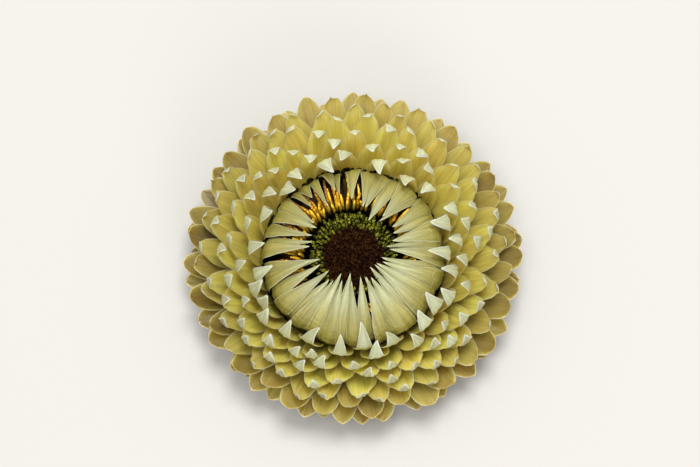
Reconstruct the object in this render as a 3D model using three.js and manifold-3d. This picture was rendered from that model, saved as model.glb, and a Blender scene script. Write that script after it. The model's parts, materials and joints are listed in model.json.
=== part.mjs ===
// A dried strawflower head, picked with a short stub of stem and lying face up.
// Millimetres, +Z up out of the face, origin on the surface under the middle of the head.
// The head is a receptacle on its stub, a disc of florets on top of it, a dome of pale inner
// bracts that lean in over the florets, and a spiral of papery yellow bracts around that.
import * as THREE from "three";
import { mergeVertices } from "three/addons/utils/BufferGeometryUtils.js";
import Module from "manifold-3d";

const wasm = await Module();
wasm.setup();

// Driving sizes of the whole head
const STUB_RADIUS = 1.7;
const STUB_END = 0.6; // height of the cut across the stub
const RECEPTACLE_RADIUS = 9;
const RECEPTACLE_TOP = 7.3;
const SEAT_GAP = 0.3; // what touching pieces keep between them
const GOLDEN_ANGLE = Math.PI * (3 - Math.sqrt(5));
const ROUND_SIDES = 20;

// Yellow bracts: one spiral of leaves, wound from the erect ones round the face down to the stub.
// Each turn of 31 leaves is called a whorl here, and the table gives one leaf of each whorl by
// radius and height: its root, the knee of its curve, the shoulder where its tip turns over,
// its width, the length of its tip, and how far that tip is curled in, in degrees.
const LEAVES_PER_WHORL = 31;
const SPIRAL_LEAVES = 280;
const LOPSIDED = 0.05; // the outer leaves reach this share further towards +Y, and less towards -Y
const LOPSIDED_FROM = 4; // the whorl from which they do so in full
const WHORLS = [
  { root: [10.6, 6.2], knee: [16.6, 5.6], shoulder: [17.1, 16.7], width: 4.2, tip: 4.0, curl: 42 },
  { root: [9.9, 5.9], knee: [17.4, 4.7], shoulder: [20.2, 16.0], width: 4.5, tip: 3.3, curl: 46 },
  { root: [9.2, 5.6], knee: [18.1, 4.2], shoulder: [23.3, 14.8], width: 4.8, tip: 2.8, curl: 56 },
  { root: [8.6, 5.3], knee: [18.9, 3.9], shoulder: [26.1, 13.0], width: 5.1, tip: 2.3, curl: 66 },
  { root: [7.9, 5.1], knee: [19.3, 3.8], shoulder: [28.3, 10.7], width: 5.3, tip: 1.9, curl: 54 },
  { root: [7.2, 4.8], knee: [19.0, 3.6], shoulder: [29.5, 8.1], width: 5.5, tip: 1.8, curl: 14 },
  { root: [6.5, 4.5], knee: [17.6, 3.4], shoulder: [28.8, 5.4], width: 5.4, tip: 1.7, curl: 2 },
  { root: [5.7, 4.2], knee: [15.4, 3.2], shoulder: [25.4, 2.9], width: 5.0, tip: 1.6, curl: -5 },
  { root: [4.8, 3.9], knee: [11.6, 3.0], shoulder: [18.4, 1.4], width: 4.1, tip: 1.4, curl: -6 },
  { root: [4.0, 3.6], knee: [6.2, 2.9], shoulder: [8.8, 1.9], width: 3.0, tip: 1.1, curl: -5 },
];
const LEAF_THICKNESS = 0.62; // at the midrib; the edges are sharp
const LEAF_STATIONS = [0.46, 0.74]; // along the curve, before the shoulder
const LEAF_WIDTHS = [0.62, 1]; // at those stations, as shares of the full width
const CORE_SHARE = 0.5; // the core that the leaves stand out of fills this share of their curves
const SHOULDER_WIDTH = 0.85;
const FEET = 3; // leaves that the head rests on
const FOOT_WHORL = 7.8;
const FOOT_HEIGHT = 0.42; // height of their shoulders, whose keels are flattened on the surface
const UNDERGROUND = [40, 5]; // radius and depth of what is cut away to flatten them
const CLEAR_OF_SURFACE = 0.5; // least height of every other leaf's tip
// How far leaves differ from the rule, as a draw number and a range either way: angle and roll in
// radians, the others as shares of the size they change.
const LEAF_VARIES = {
  angle: [1, 0.035],
  reach: [2, 0.02],
  roll: [3, 0.1],
  curl: [4, 0.16],
  width: [5, 0.08],
  slant: [6, 0.22],
};

// Pale inner bracts: a dome of narrow pointed leaves
const INNER_LEAVES = 38;
const INNER_WIDTH = 3.1;
const INNER_THICKNESS = 0.65;
const INNER_PATH = [
  [10.4, 8.2],
  [14.0, 8.9],
  [15.4, 11.6],
  [14.6, 14.9],
];
const INNER_WIDTHS = [0.55, 0.95, 1, 0.8]; // along that path, as shares of the width
// Their tips reach furthest over the florets on the side away from the opening.
const NEAR_TIP = [5.3, 18.0];
const SIDE_TIP = [7.4, 18.0];
const OPEN_TIP = [11.4, 17.4];
const OPEN_SIDE = 1.9; // direction, in radians from +X, of the side where the dome stays open
const OPEN_ANGLES = [0.22, 0.85]; // away from there, where it starts to close and is closed
const OPEN_WIDTH = 0.74; // width of the leaves in the opening, as a share of the others
const NEAR_ANGLES = [1.5, 2.4]; // away from there, where the tips start to reach further, and end
const BACK_ROW = [0.4, 0.2]; // every other leaf lies this much further in and down
const INNER_VARIES = { angle: [11, 0.12], reach: [12, 0.8], width: [13, 0.14], slant: [14, 0.05] };

// Florets
const DISC_RADIUS = 7.4;
const DISC_APEX = 17.0;
const DISC_RIM = 15.5;
const BROWN_RADIUS = 5.1;
const BROWN_CENTRE = [0, -0.9]; // the faded middle of the disc is a little off centre
const FLORET_SPACING = 1.24;
const FLORET_RADIUS = 0.7;
const FLORET_LENGTH = 2.4; // half of it stands out of the disc
const FLORET_LEAN = 0.09; // outward lean for each millimetre from the middle
const FLORET_VARIES = { twist: [21, Math.PI / 2], rise: [22, 0.2] };
const RIM_FLORETS = 40;
const RIM_RING = [7.75, 9.1]; // inner and outer radius of the ring that the rim florets stand in
const RIM_RING_TOP = 11.9;
const RIM_FLORET_ROOT = [8.4, 11.0];
const RIM_FLORET_TIPS = [[9.5, 15.9], [11.9, 14.2]]; // by turns upright, and splayed under the bracts
const RIM_FLORET_RADII = [0.34, 0.46]; // at the root and at the tip
const RIM_VARIES = { angle: [31, 0.2], reach: [32, 0.4], slant: [33, 0.05] };

// Small helpers

// A repeatable random number within a range either way of zero, for leaf or floret i.
function vary(i, [draw, range]) {
  const wave = Math.sin(i * 12.9898 + draw * 78.233) * 43758.5453;
  return (2 * (wave - Math.floor(wave)) - 1) * range;
}

const mix = THREE.MathUtils.lerp;
const mixPair = (a, b, t) => [mix(a[0], b[0], t), mix(a[1], b[1], t)];

// A closed three.js geometry as a solid that can be joined and cut.
function solid(geometry) {
  const bare = geometry.clone();
  bare.deleteAttribute("normal");
  bare.deleteAttribute("uv");
  const merged = mergeVertices(bare, 1e-5);
  return new wasm.Manifold(
    new wasm.Mesh({
      numProp: 3,
      vertProperties: merged.attributes.position.array,
      triVerts: new Uint32Array(merged.index.array),
    }),
  );
}

// The named mesh of a finished solid.
function piece(name, made, material) {
  const { vertProperties, triVerts } = made.getMesh();
  const geometry = new THREE.BufferGeometry();
  geometry.setAttribute("position", new THREE.BufferAttribute(new Float32Array(vertProperties), 3));
  geometry.setIndex(new THREE.BufferAttribute(new Uint32Array(triVerts), 1));
  geometry.computeVertexNormals();
  const mesh = new THREE.Mesh(geometry, material);
  mesh.name = name;
  return mesh;
}

// A solid of revolution about +Z from [radius, height] points that run counter-clockwise.
function turned(points, sides = ROUND_SIDES) {
  const profile = points.map(([r, z]) => new THREE.Vector2(r, z));
  const geometry = new THREE.LatheGeometry(profile, sides);
  geometry.rotateX(Math.PI / 2);
  return solid(geometry);
}

// A ring about +Z whose section is the closed loop of [radius, height] points.
const turnedRing = (points, sides) => turned([...points, points[0]], sides);

// An upright cylinder between two heights.
function post(radius, low, high, [x, y] = [0, 0], sides = ROUND_SIDES) {
  const geometry = new THREE.CylinderGeometry(radius, radius, high - low, sides);
  geometry.rotateX(Math.PI / 2);
  geometry.translate(x, y, (low + high) / 2);
  return solid(geometry);
}

// The point at a radius and height on the side of the head that faces the angle phi.
const around = (phi, [r, z]) => new THREE.Vector3(r * Math.cos(phi), r * Math.sin(phi), z);

// A leaf: a blade through three-cornered sections, flat on the side that faces the florets and
// keeled on its back, closed at the root by a flat end and at the tip by a point. Each station
// has a centre, the directions across and up, its half width and its thickness.
function blade(stations, tip) {
  const corners = [];
  for (const { centre, across, up, half, thick } of stations) {
    corners.push(
      centre.clone().addScaledVector(across, -half),
      centre.clone().addScaledVector(across, half),
      centre.clone().addScaledVector(up, -thick),
    );
  }
  corners.push(tip);
  const faces = [0, 1, 2];
  for (let s = 0; s < stations.length; s++) {
    for (let c = 0; c < 3; c++) {
      const here = 3 * s + c;
      const beside = 3 * s + ((c + 1) % 3);
      if (s + 1 < stations.length) faces.push(here, here + 3, beside, beside, here + 3, beside + 3);
      else faces.push(here, corners.length - 1, beside);
    }
  }
  const geometry = new THREE.BufferGeometry().setFromPoints(corners);
  geometry.setIndex(faces);
  return solid(geometry);
}

// Yellow bracts

// The leaf shape at a place in the spiral, between two rows of the table.
function whorlAt(turn) {
  const below = Math.min(Math.floor(turn), WHORLS.length - 2);
  const [a, b, t] = [WHORLS[below], WHORLS[below + 1], turn - below];
  return {
    root: mixPair(a.root, b.root, t),
    knee: mixPair(a.knee, b.knee, t),
    shoulder: mixPair(a.shoulder, b.shoulder, t),
    width: mix(a.width, b.width, t),
    tip: mix(a.tip, b.tip, t),
    curl: mix(a.curl, b.curl, t),
  };
}

// Place and slope, by radius and height, at the share u along a leaf's curve.
function onCurve({ root, knee, shoulder }, u) {
  const place = mixPair(mixPair(root, knee, u), mixPair(knee, shoulder, u), u);
  const slope = Math.atan2(
    mix(knee[1] - root[1], shoulder[1] - knee[1], u),
    mix(knee[0] - root[0], shoulder[0] - knee[0], u),
  );
  return { place, slope };
}

// The leaves whose tips lie on the surface: in one whorl, those nearest to three even directions.
function footLeaves() {
  const first = Math.round((FOOT_WHORL - 0.5) * LEAVES_PER_WHORL);
  const whorl = Array.from({ length: LEAVES_PER_WHORL }, (_, n) => first + n);
  return Array.from({ length: FEET }, (_, foot) => {
    const wanted = Math.PI / 2 + (foot * 2 * Math.PI) / FEET;
    const miss = (i) => Math.abs(Math.sin((i * GOLDEN_ANGLE - wanted) / 2));
    return whorl.reduce((best, i) => (miss(i) < miss(best) ? i : best));
  });
}

function spiralLeaf(i, isFoot) {
  const shape = whorlAt(i / LEAVES_PER_WHORL);
  const phi = i * GOLDEN_ANGLE + vary(i, LEAF_VARIES.angle);
  const outer = THREE.MathUtils.smoothstep(i / LEAVES_PER_WHORL, 0, LOPSIDED_FROM);
  const reach = 1 + vary(i, LEAF_VARIES.reach) + outer * LOPSIDED * Math.sin(phi);
  const roll = vary(i, LEAF_VARIES.roll);
  const curl = THREE.MathUtils.degToRad(shape.curl * (1 + vary(i, LEAF_VARIES.curl)));
  const width = shape.width * (1 + vary(i, LEAF_VARIES.width));
  shape.shoulder = [shape.shoulder[0] * reach, isFoot ? FOOT_HEIGHT : shape.shoulder[1]];
  const outward = around(phi, [1, 0]);
  const sideways = around(phi + Math.PI / 2, [1, 0]);
  const frame = (slope) => {
    const up = outward.clone().multiplyScalar(-Math.sin(slope)).setZ(Math.cos(slope));
    const across = sideways.clone().multiplyScalar(Math.cos(roll)).addScaledVector(up, Math.sin(roll));
    return { up, across };
  };
  const stations = LEAF_STATIONS.map((u, n) => {
    const { place, slope } = onCurve(shape, u);
    const half = (width * LEAF_WIDTHS[n]) / 2;
    return { centre: around(phi, place), ...frame(slope), half, thick: LEAF_THICKNESS };
  });
  const end = onCurve(shape, 1);
  const shoulder = around(phi, end.place);
  const half = (width * SHOULDER_WIDTH) / 2;
  stations.push({ centre: shoulder, ...frame(end.slope + curl / 2), half, thick: LEAF_THICKNESS });
  const tipSlope = end.slope + curl;
  const tip = shoulder
    .clone()
    .addScaledVector(outward, shape.tip * Math.cos(tipSlope))
    .addScaledVector(sideways, shape.tip * vary(i, LEAF_VARIES.slant));
  tip.z += shape.tip * Math.sin(tipSlope);
  tip.z = isFoot ? 0 : Math.max(tip.z, CLEAR_OF_SURFACE);
  return blade(stations, tip);
}

// The core of the spiral, where the leaves' narrow roots lie pressed together round the
// receptacle: a cup whose outside passes through the same share of every leaf.
function bractCore() {
  const outside = WHORLS.map((shape) => onCurve(shape, CORE_SHARE).place).reverse();
  return turnedRing([
    [STUB_RADIUS + SEAT_GAP, 1.8],
    ...outside,
    [15.2, 8.1],
    [12.2, RECEPTACLE_TOP - 0.2],
    [RECEPTACLE_RADIUS + SEAT_GAP, RECEPTACLE_TOP - 0.2],
    [RECEPTACLE_RADIUS + SEAT_GAP, 5.8],
    [STUB_RADIUS + SEAT_GAP, 2.4],
  ]);
}

function yellowBracts() {
  const feet = footLeaves();
  const leaves = Array.from({ length: SPIRAL_LEAVES }, (_, i) => spiralLeaf(i, feet.includes(i)));
  const joined = wasm.Manifold.union([bractCore(), ...leaves]);
  const underground = post(UNDERGROUND[0], -UNDERGROUND[1], 0);
  return joined.subtract(underground);
}

// Pale inner bracts

function innerLeaf(i) {
  const phi = ((i + vary(i, INNER_VARIES.angle)) * 2 * Math.PI) / INNER_LEAVES;
  const away = Math.abs(Math.atan2(Math.sin(phi - OPEN_SIDE), Math.cos(phi - OPEN_SIDE)));
  const open = 1 - THREE.MathUtils.smoothstep(away, ...OPEN_ANGLES);
  const near = THREE.MathUtils.smoothstep(away, ...NEAR_ANGLES);
  const [inwards, down] = i % 2 ? BACK_ROW : [0, 0];
  const path = INNER_PATH.map(([r, z]) => [r - inwards, z - down]);
  const tip = mixPair(mixPair(SIDE_TIP, NEAR_TIP, near), OPEN_TIP, open);
  tip[0] += vary(i, INNER_VARIES.reach) - inwards;
  const width = INNER_WIDTH * (1 + vary(i, INNER_VARIES.width)) * mix(1, OPEN_WIDTH, open);
  const sideways = around(phi + Math.PI / 2, [1, 0]);
  const stations = path.map((place, n) => {
    const before = path[Math.max(n - 1, 0)];
    const after = path[n + 1] ?? tip;
    const slope = Math.atan2(after[1] - before[1], after[0] - before[0]);
    // The blade's back faces outwards, so its upper side is the one that faces the florets.
    const up = around(phi, [-Math.sin(slope), 0]).setZ(Math.cos(slope));
    const half = (width * INNER_WIDTHS[n]) / 2;
    return { centre: around(phi, place), across: sideways, up, half, thick: INNER_THICKNESS };
  });
  return blade(stations, around(phi + vary(i, INNER_VARIES.slant), tip));
}

function innerBracts() {
  const collar = turnedRing([
    [RIM_RING[1] + SEAT_GAP, RECEPTACLE_TOP + 0.1],
    [11.6, RECEPTACLE_TOP + 0.1],
    [12.2, 8.2],
    [11.6, 9.2],
    [RIM_RING[1] + SEAT_GAP, 9.2],
  ]);
  const leaves = Array.from({ length: INNER_LEAVES }, (_, i) => innerLeaf(i));
  return wasm.Manifold.union([collar, ...leaves]);
}

// Florets

// Height of the domed top of the disc at a radius.
const discHeight = (r) => mix(DISC_APEX, DISC_RIM, (r / DISC_RADIUS) ** 2);

function discCore() {
  const top = [DISC_RADIUS, 6, 4, 2, 0].map((r) => [r, discHeight(r)]);
  const low = RECEPTACLE_TOP + SEAT_GAP;
  return turned([[0, low], [DISC_RADIUS, low], ...top]);
}

// Turns a geometry that stands along +Z to lie along another direction.
function aim(geometry, direction) {
  const up = new THREE.Vector3(0, 0, 1);
  const turn = new THREE.Quaternion().setFromUnitVectors(up, direction.clone().normalize());
  geometry.applyQuaternion(turn);
}

// One floret's tip standing out of the disc: a three-sided spike that leans outwards.
function floretSpike(x, y, i) {
  const geometry = new THREE.ConeGeometry(FLORET_RADIUS, FLORET_LENGTH, 3);
  geometry.rotateX(Math.PI / 2);
  geometry.rotateZ(vary(i, FLORET_VARIES.twist));
  aim(geometry, new THREE.Vector3(x * FLORET_LEAN, y * FLORET_LEAN, 1));
  geometry.translate(x, y, discHeight(Math.hypot(x, y)) + vary(i, FLORET_VARIES.rise));
  return solid(geometry);
}

// The florets of the disc in a sunflower spiral, in two colours: green, with the faded brown
// ones in the middle.
function discFlorets() {
  const spikes = { brown: [], green: [] };
  const count = Math.floor(((DISC_RADIUS - FLORET_RADIUS) / FLORET_SPACING) ** 2 * Math.PI);
  for (let i = 0; i < count; i++) {
    const r = FLORET_SPACING * Math.sqrt((i + 0.5) / Math.PI);
    const [x, y] = [r * Math.cos(i * GOLDEN_ANGLE), r * Math.sin(i * GOLDEN_ANGLE)];
    const off = Math.hypot(x - BROWN_CENTRE[0], y - BROWN_CENTRE[1]);
    const colour = off < BROWN_RADIUS + SEAT_GAP / 2 ? "brown" : "green";
    spikes[colour].push(floretSpike(x, y, i));
  }
  const core = discCore();
  const brownCut = post(BROWN_RADIUS, 0, 2 * DISC_APEX, BROWN_CENTRE);
  const greenCut = post(BROWN_RADIUS + SEAT_GAP, 0, 2 * DISC_APEX, BROWN_CENTRE);
  const rimCut = post(DISC_RADIUS, 0, 2 * DISC_APEX);
  return {
    brown: wasm.Manifold.union([core, ...spikes.brown]).intersect(brownCut),
    green: wasm.Manifold.union([core, ...spikes.green]).intersect(rimCut).subtract(greenCut),
  };
}

// One slender floret of the rim, which widens from its root to its tip.
function rimFloret(i) {
  const phi = ((i + vary(i, RIM_VARIES.angle)) * 2 * Math.PI) / RIM_FLORETS;
  const [r, z] = RIM_FLORET_TIPS[i % 2];
  const root = around(phi, RIM_FLORET_ROOT);
  const tip = around(phi + vary(i, RIM_VARIES.slant), [r + vary(i, RIM_VARIES.reach), z]);
  const along = tip.clone().sub(root);
  const geometry = new THREE.CylinderGeometry(RIM_FLORET_RADII[1], RIM_FLORET_RADII[0], along.length(), 3);
  geometry.rotateX(Math.PI / 2);
  aim(geometry, along);
  geometry.translate(...root.lerp(tip, 0.5).toArray());
  return solid(geometry);
}

function rimFlorets() {
  const ring = turnedRing([
    [RIM_RING[0], RECEPTACLE_TOP + SEAT_GAP],
    [RIM_RING[1], RECEPTACLE_TOP + SEAT_GAP],
    [RIM_RING[1], RIM_RING_TOP - 0.5],
    [RIM_RING[0], RIM_RING_TOP],
  ]);
  const florets = Array.from({ length: RIM_FLORETS }, (_, i) => rimFloret(i));
  return wasm.Manifold.union([ring, ...florets]);
}

// Receptacle and stub of stem, grown as one piece
function receptacle() {
  return turned([
    [0, STUB_END],
    [STUB_RADIUS, STUB_END],
    [STUB_RADIUS, 2.6],
    [RECEPTACLE_RADIUS, 6.0],
    [RECEPTACLE_RADIUS, RECEPTACLE_TOP],
    [0, RECEPTACLE_TOP],
  ]);
}

const papery = (color, roughness) =>
  new THREE.MeshStandardMaterial({ color, roughness, metalness: 0, flatShading: true });

const disc = discFlorets();
const strawflower = new THREE.Group();
strawflower.name = "strawflower";
strawflower.add(
  piece("receptacle_and_stub", receptacle(), papery(0x6f6a35, 0.8)),
  piece("yellow_bracts", yellowBracts(), papery(0xd1bf62, 0.45)),
  piece("inner_bracts", innerBracts(), papery(0xdcd8ac, 0.5)),
  piece("rim_florets", rimFlorets(), papery(0xb9860f, 0.6)),
  piece("green_florets", disc.green, papery(0x5c5a14, 0.8)),
  piece("brown_florets", disc.brown, papery(0x3c1d10, 0.85)),
);

// The outer leaves differ in reach, so the head is shifted to lie centred on the origin.
const extent = new THREE.Box3().setFromObject(strawflower);
strawflower.position.set(-(extent.min.x + extent.max.x) / 2, -(extent.min.y + extent.max.y) / 2, 0);

export default strawflower;
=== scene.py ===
# %% [markdown]
# A dried strawflower
#
# This lesson builds one dried strawflower head. Such a head is a fleshy disc on a stem, florets
# on top of the disc, and hundreds of stiff papery leaves, called bracts, wound round it in one
# spiral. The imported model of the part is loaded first, as a fixed frame. It says how large the
# head is and where its axis stands. Every piece below is finer than its solid in that frame,
# takes the same place, and then stands for it.

# %% Load the frame
import json
import math
import bpy
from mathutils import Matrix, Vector

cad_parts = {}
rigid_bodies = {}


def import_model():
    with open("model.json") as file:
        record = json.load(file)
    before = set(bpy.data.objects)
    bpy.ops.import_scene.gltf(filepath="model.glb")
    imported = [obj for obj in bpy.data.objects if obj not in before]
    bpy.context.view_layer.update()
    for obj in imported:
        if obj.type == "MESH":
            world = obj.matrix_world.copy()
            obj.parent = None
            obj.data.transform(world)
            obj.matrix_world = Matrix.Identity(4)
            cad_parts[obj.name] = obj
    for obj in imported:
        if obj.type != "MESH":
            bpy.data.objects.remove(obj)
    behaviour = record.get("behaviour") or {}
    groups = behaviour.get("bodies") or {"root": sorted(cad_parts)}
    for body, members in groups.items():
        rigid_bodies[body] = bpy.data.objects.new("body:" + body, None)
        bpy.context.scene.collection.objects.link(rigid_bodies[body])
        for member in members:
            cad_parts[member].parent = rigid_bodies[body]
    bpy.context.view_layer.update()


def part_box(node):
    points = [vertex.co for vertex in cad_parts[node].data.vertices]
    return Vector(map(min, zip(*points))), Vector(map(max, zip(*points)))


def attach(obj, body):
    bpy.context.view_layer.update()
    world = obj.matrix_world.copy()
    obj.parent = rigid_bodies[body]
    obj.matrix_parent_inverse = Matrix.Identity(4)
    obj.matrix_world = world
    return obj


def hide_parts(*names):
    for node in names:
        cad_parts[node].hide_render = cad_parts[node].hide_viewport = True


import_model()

MM = 0.001  # sizes below are in millimetres, and Blender works in metres

stub_low, stub_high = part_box("receptacle_and_stub")
middle_of_stub = (stub_low + stub_high) / 2
AXIS = Vector((middle_of_stub.x, middle_of_stub.y, 0.0))
print("the head's axis stands at", [round(c / MM, 3) for c in AXIS])

# %% [markdown]
# The camera
#
# The photograph looks down on the face of the head, which is tilted away by 14 degrees. Instead
# of tilting the flower, the camera looks down from 76 degrees above the surface. A long lens from
# a third of a metre away gives the flat look of a close-up, and the aim is a little off the axis,
# as the head is a little off the middle of the photograph.

# %% Place the camera
PHOTO_WIDTH = 700  # pixels
PIXEL = 0.18 * MM  # what one pixel of the photograph covers on the head
CAMERA_ELEVATION = math.radians(76)
SENSOR = 36
LENS = 100
MIDDLE_HEIGHT = 9.5 * MM  # the height in the head at which the camera aims
AIM = (-3.3, 28.0)  # pixels from the axis to the photograph's middle, right and up


def place_camera():
    back = Vector((0, -math.cos(CAMERA_ELEVATION), math.sin(CAMERA_ELEVATION)))
    turn = (-back).to_track_quat("-Z", "Y")
    target = AXIS + Vector((0, 0, MIDDLE_HEIGHT)) + turn @ Vector((*AIM, 0)) * PIXEL
    distance = PHOTO_WIDTH * PIXEL * LENS / SENSOR
    data = bpy.data.cameras.new("camera")
    data.lens = LENS
    data.sensor_width = SENSOR
    camera = bpy.data.objects.new("camera", data)
    camera.location = target + back * distance
    camera.rotation_euler = turn.to_euler()
    bpy.context.scene.collection.objects.link(camera)
    bpy.context.scene.camera = camera
    return distance


print("the camera stands", round(place_camera(), 3), "m away")

# %% [markdown]
# Colours and nodes
#
# Colours are easiest to compare with a photograph as the hex values that a screen shows. Blender
# reckons light in linear values, so one function turns the first into the second. Another small
# function adds a node to a tree, sets it up, and links it, so that a material or a rule reads as
# a list of its nodes. Where a node's inputs are plain to see, such as the two numbers of a sum or
# a value with the old and the new limits of its range, they are given in order, without names.

# %% Two helpers
def linear(screen):
    """The linear colour of a hex value as a screen shows it."""
    shares = [int(screen[n : n + 2], 16) / 255 for n in (1, 3, 5)]
    return (*[s / 12.92 if s <= 0.04045 else ((s + 0.055) / 1.055) ** 2.4 for s in shares], 1.0)


def add(tree, kind, inputs=(), stops=(), **settings):
    """Adds a node with its settings and links.

    Inputs are nodes, sockets, values or hex colours. They come in the order of the sockets that
    the settings leave open, or by identifier or name. Stops are the places and hex colours of a
    colour ramp.
    """
    node = tree.nodes.new(kind)
    for name, value in settings.items():
        setattr(node, name, value)
    if not isinstance(inputs, dict):
        inputs = dict(zip([socket.identifier for socket in node.inputs if socket.enabled], inputs))
    for wanted, value in inputs.items():
        socket = next(s for s in node.inputs if wanted in (s.identifier, s.name))
        if isinstance(value, bpy.types.Node):
            value = next(s for s in value.outputs if s.enabled)
        if isinstance(value, bpy.types.NodeSocket):
            tree.links.new(value, socket)
        elif isinstance(value, str) and value.startswith("#"):
            socket.default_value = linear(value)
        else:
            socket.default_value = value
    if stops:
        elements = node.color_ramp.elements
        while len(elements) < len(stops):
            elements.new(0.5)
        for element, (position, _) in zip(elements, stops):
            element.position = position
        for element, (_, colour) in zip(elements, stops):
            element.color = linear(colour)
    return node


print("straw yellow is", [round(c, 3) for c in linear("#cdb95a")])

# %% [markdown]
# Floor and light
#
# The head lies on a plain pale floor. Its light is that of a small studio. The strongest lamp
# hangs high and a little behind the head and picks out the folded tips. A weaker one hangs by the
# camera, a little to the left, one stands low in front, for the leaves that face it, and a dim
# even sky fills the shade between the rows.

# %% Lay the floor and hang the lamps
FLOOR_SIZE = 2.0
LAMPS = {  # place in metres, width in metres, watts
    "key": ((-0.14, -0.10, 0.64), 0.24, 1.15),
    "back": ((0.04, 0.16, 0.66), 0.26, 4.55),
    "front": ((0.14, -0.52, 0.26), 0.24, 1.35),
}
SKY = 0.73


def lay_floor():
    half = FLOOR_SIZE / 2
    mesh = bpy.data.meshes.new("floor")
    corners = [(-half, -half, 0), (half, -half, 0), (half, half, 0), (-half, half, 0)]
    mesh.from_pydata(corners, [], [(0, 1, 2, 3)])
    floor = bpy.data.objects.new("floor", mesh)
    bpy.context.scene.collection.objects.link(floor)
    card = bpy.data.materials.new("matt_card")
    card.use_nodes = True
    shader = card.node_tree.nodes["Principled BSDF"]
    shader.inputs["Base Color"].default_value = linear("#b6b4af")
    shader.inputs["Roughness"].default_value = 0.9
    mesh.materials.append(card)


def hang_lamps():
    for name, (place, width, watts) in LAMPS.items():
        data = bpy.data.lights.new(name, "AREA")
        data.energy = watts
        data.size = width
        lamp = bpy.data.objects.new(name, data)
        lamp.location = place
        lamp.rotation_euler = (-Vector(place)).to_track_quat("-Z", "Y").to_euler()
        bpy.context.scene.collection.objects.link(lamp)
    world = bpy.data.worlds.new("sky")
    world.use_nodes = True
    sky = world.node_tree.nodes["Background"]
    sky.inputs["Color"].default_value = linear("#f4f2ee")
    sky.inputs["Strength"].default_value = SKY
    bpy.context.scene.world = world
    bpy.context.scene.view_settings.view_transform = "Standard"


lay_floor()
hang_lamps()
print("lamps:", list(LAMPS))

# %% [markdown]
# How a bract is bent
#
# Every bract springs from the side of the disc, runs outwards and bends up. Seen from the side
# that is one smooth curve of radius and height. A blade is laid along such a curve by distance,
# so the helper below walks along a curve and says where it is and how steeply it climbs.

# %% Walk along a curve
CURVE_SAMPLES = 32


def mix(a, b, share):
    return a + (b - a) * share


def mix_pair(a, b, share):
    return (mix(a[0], b[0], share), mix(a[1], b[1], share))


def smoothstep(value, low, high):
    share = min(max((value - low) / (high - low), 0.0), 1.0)
    return share * share * (3 - 2 * share)


def bend(root, knee, shoulder):
    """Points on the curve from root to shoulder that the knee pulls outwards."""
    shares = [n / CURVE_SAMPLES for n in range(CURVE_SAMPLES + 1)]
    return [mix_pair(mix_pair(root, knee, u), mix_pair(knee, shoulder, u), u) for u in shares]


def through(points):
    """Points on a smooth curve through all the given ones."""
    ends = [points[0], *points, points[-1]]
    curve = []
    for a, b, c, d in zip(ends, ends[1:], ends[2:], ends[3:]):
        for n in range(CURVE_SAMPLES // 4):
            u = n / (CURVE_SAMPLES // 4)
            curve.append(tuple(
                0.5 * (2 * b[k] + (c[k] - a[k]) * u + (2 * a[k] - 5 * b[k] + 4 * c[k] - d[k]) * u**2
                       + (3 * b[k] - a[k] - 3 * c[k] + d[k]) * u**3)
                for k in (0, 1)
            ))
    return [*curve, points[-1]]


def walk(curve):
    """The length of a curve, and a function that gives radius, height and slope at a distance."""
    distances = [0.0]
    for a, b in zip(curve, curve[1:]):
        distances.append(distances[-1] + math.dist(a, b))
    slopes = []
    for n in range(len(curve)):
        a, b = curve[max(n - 1, 0)], curve[min(n + 1, len(curve) - 1)]
        slopes.append(math.atan2(b[1] - a[1], b[0] - a[0]))

    def at(distance):
        n = 1
        while n < len(curve) - 1 and distances[n] < distance:
            n += 1
        share = (distance - distances[n - 1]) / (distances[n] - distances[n - 1])
        held = min(max(share, 0.0), 1.0)
        slope = mix(slopes[n - 1], slopes[n], held)
        r, z = mix_pair(curve[n - 1], curve[n], held)
        beyond = (share - held) * (distances[n] - distances[n - 1])
        return r + beyond * math.cos(slope), z + beyond * math.sin(slope), slope

    return distances[-1], at


length, _ = walk(bend((10.6, 6.2), (17.3, 5.6), (17.6, 18.6)))
print("an inner yellow bract is", round(length, 1), "mm long up to its fold")

# %% [markdown]
# One blade
#
# A bract is a thin closed shell: an upper face, a back face, and a sharp margin where they meet.
# It could be modelled once and bent by modifiers, but the fold of its tip has to be crisp, to lie
# skew, and to leave the rounded shoulders flat, so its points are worked out here. Rows of points
# run across the blade, each at one distance along it, and a function lays them on the bent and
# folded surface. Four facts stay on the mesh for the material: how far a point lies from the
# midrib, from the fold and from the margin, and whether a face is on the back.

# %% Make a blade
BRACT_THICKNESS = 0.16


def keep_blade_facts(mesh, places, margin, front_faces):
    """Marks the margin as sharp, and keeps each point's place on the blade and each back face."""
    sharp = mesh.attributes.new("sharp_edge", "BOOLEAN", "EDGE")
    for edge in mesh.edges:
        a, b = edge.vertices
        sharp.data[edge.index].value = a in margin and b in margin
    blade = mesh.attributes.new("blade", "FLOAT_VECTOR", "POINT")
    for n, place in enumerate(places):
        blade.data[n].vector = [value * MM for value in place]
    back = mesh.attributes.new("back", "FLOAT", "FACE")
    for n in range(len(mesh.polygons)):
        back.data[n].value = float(n >= front_faces)


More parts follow.
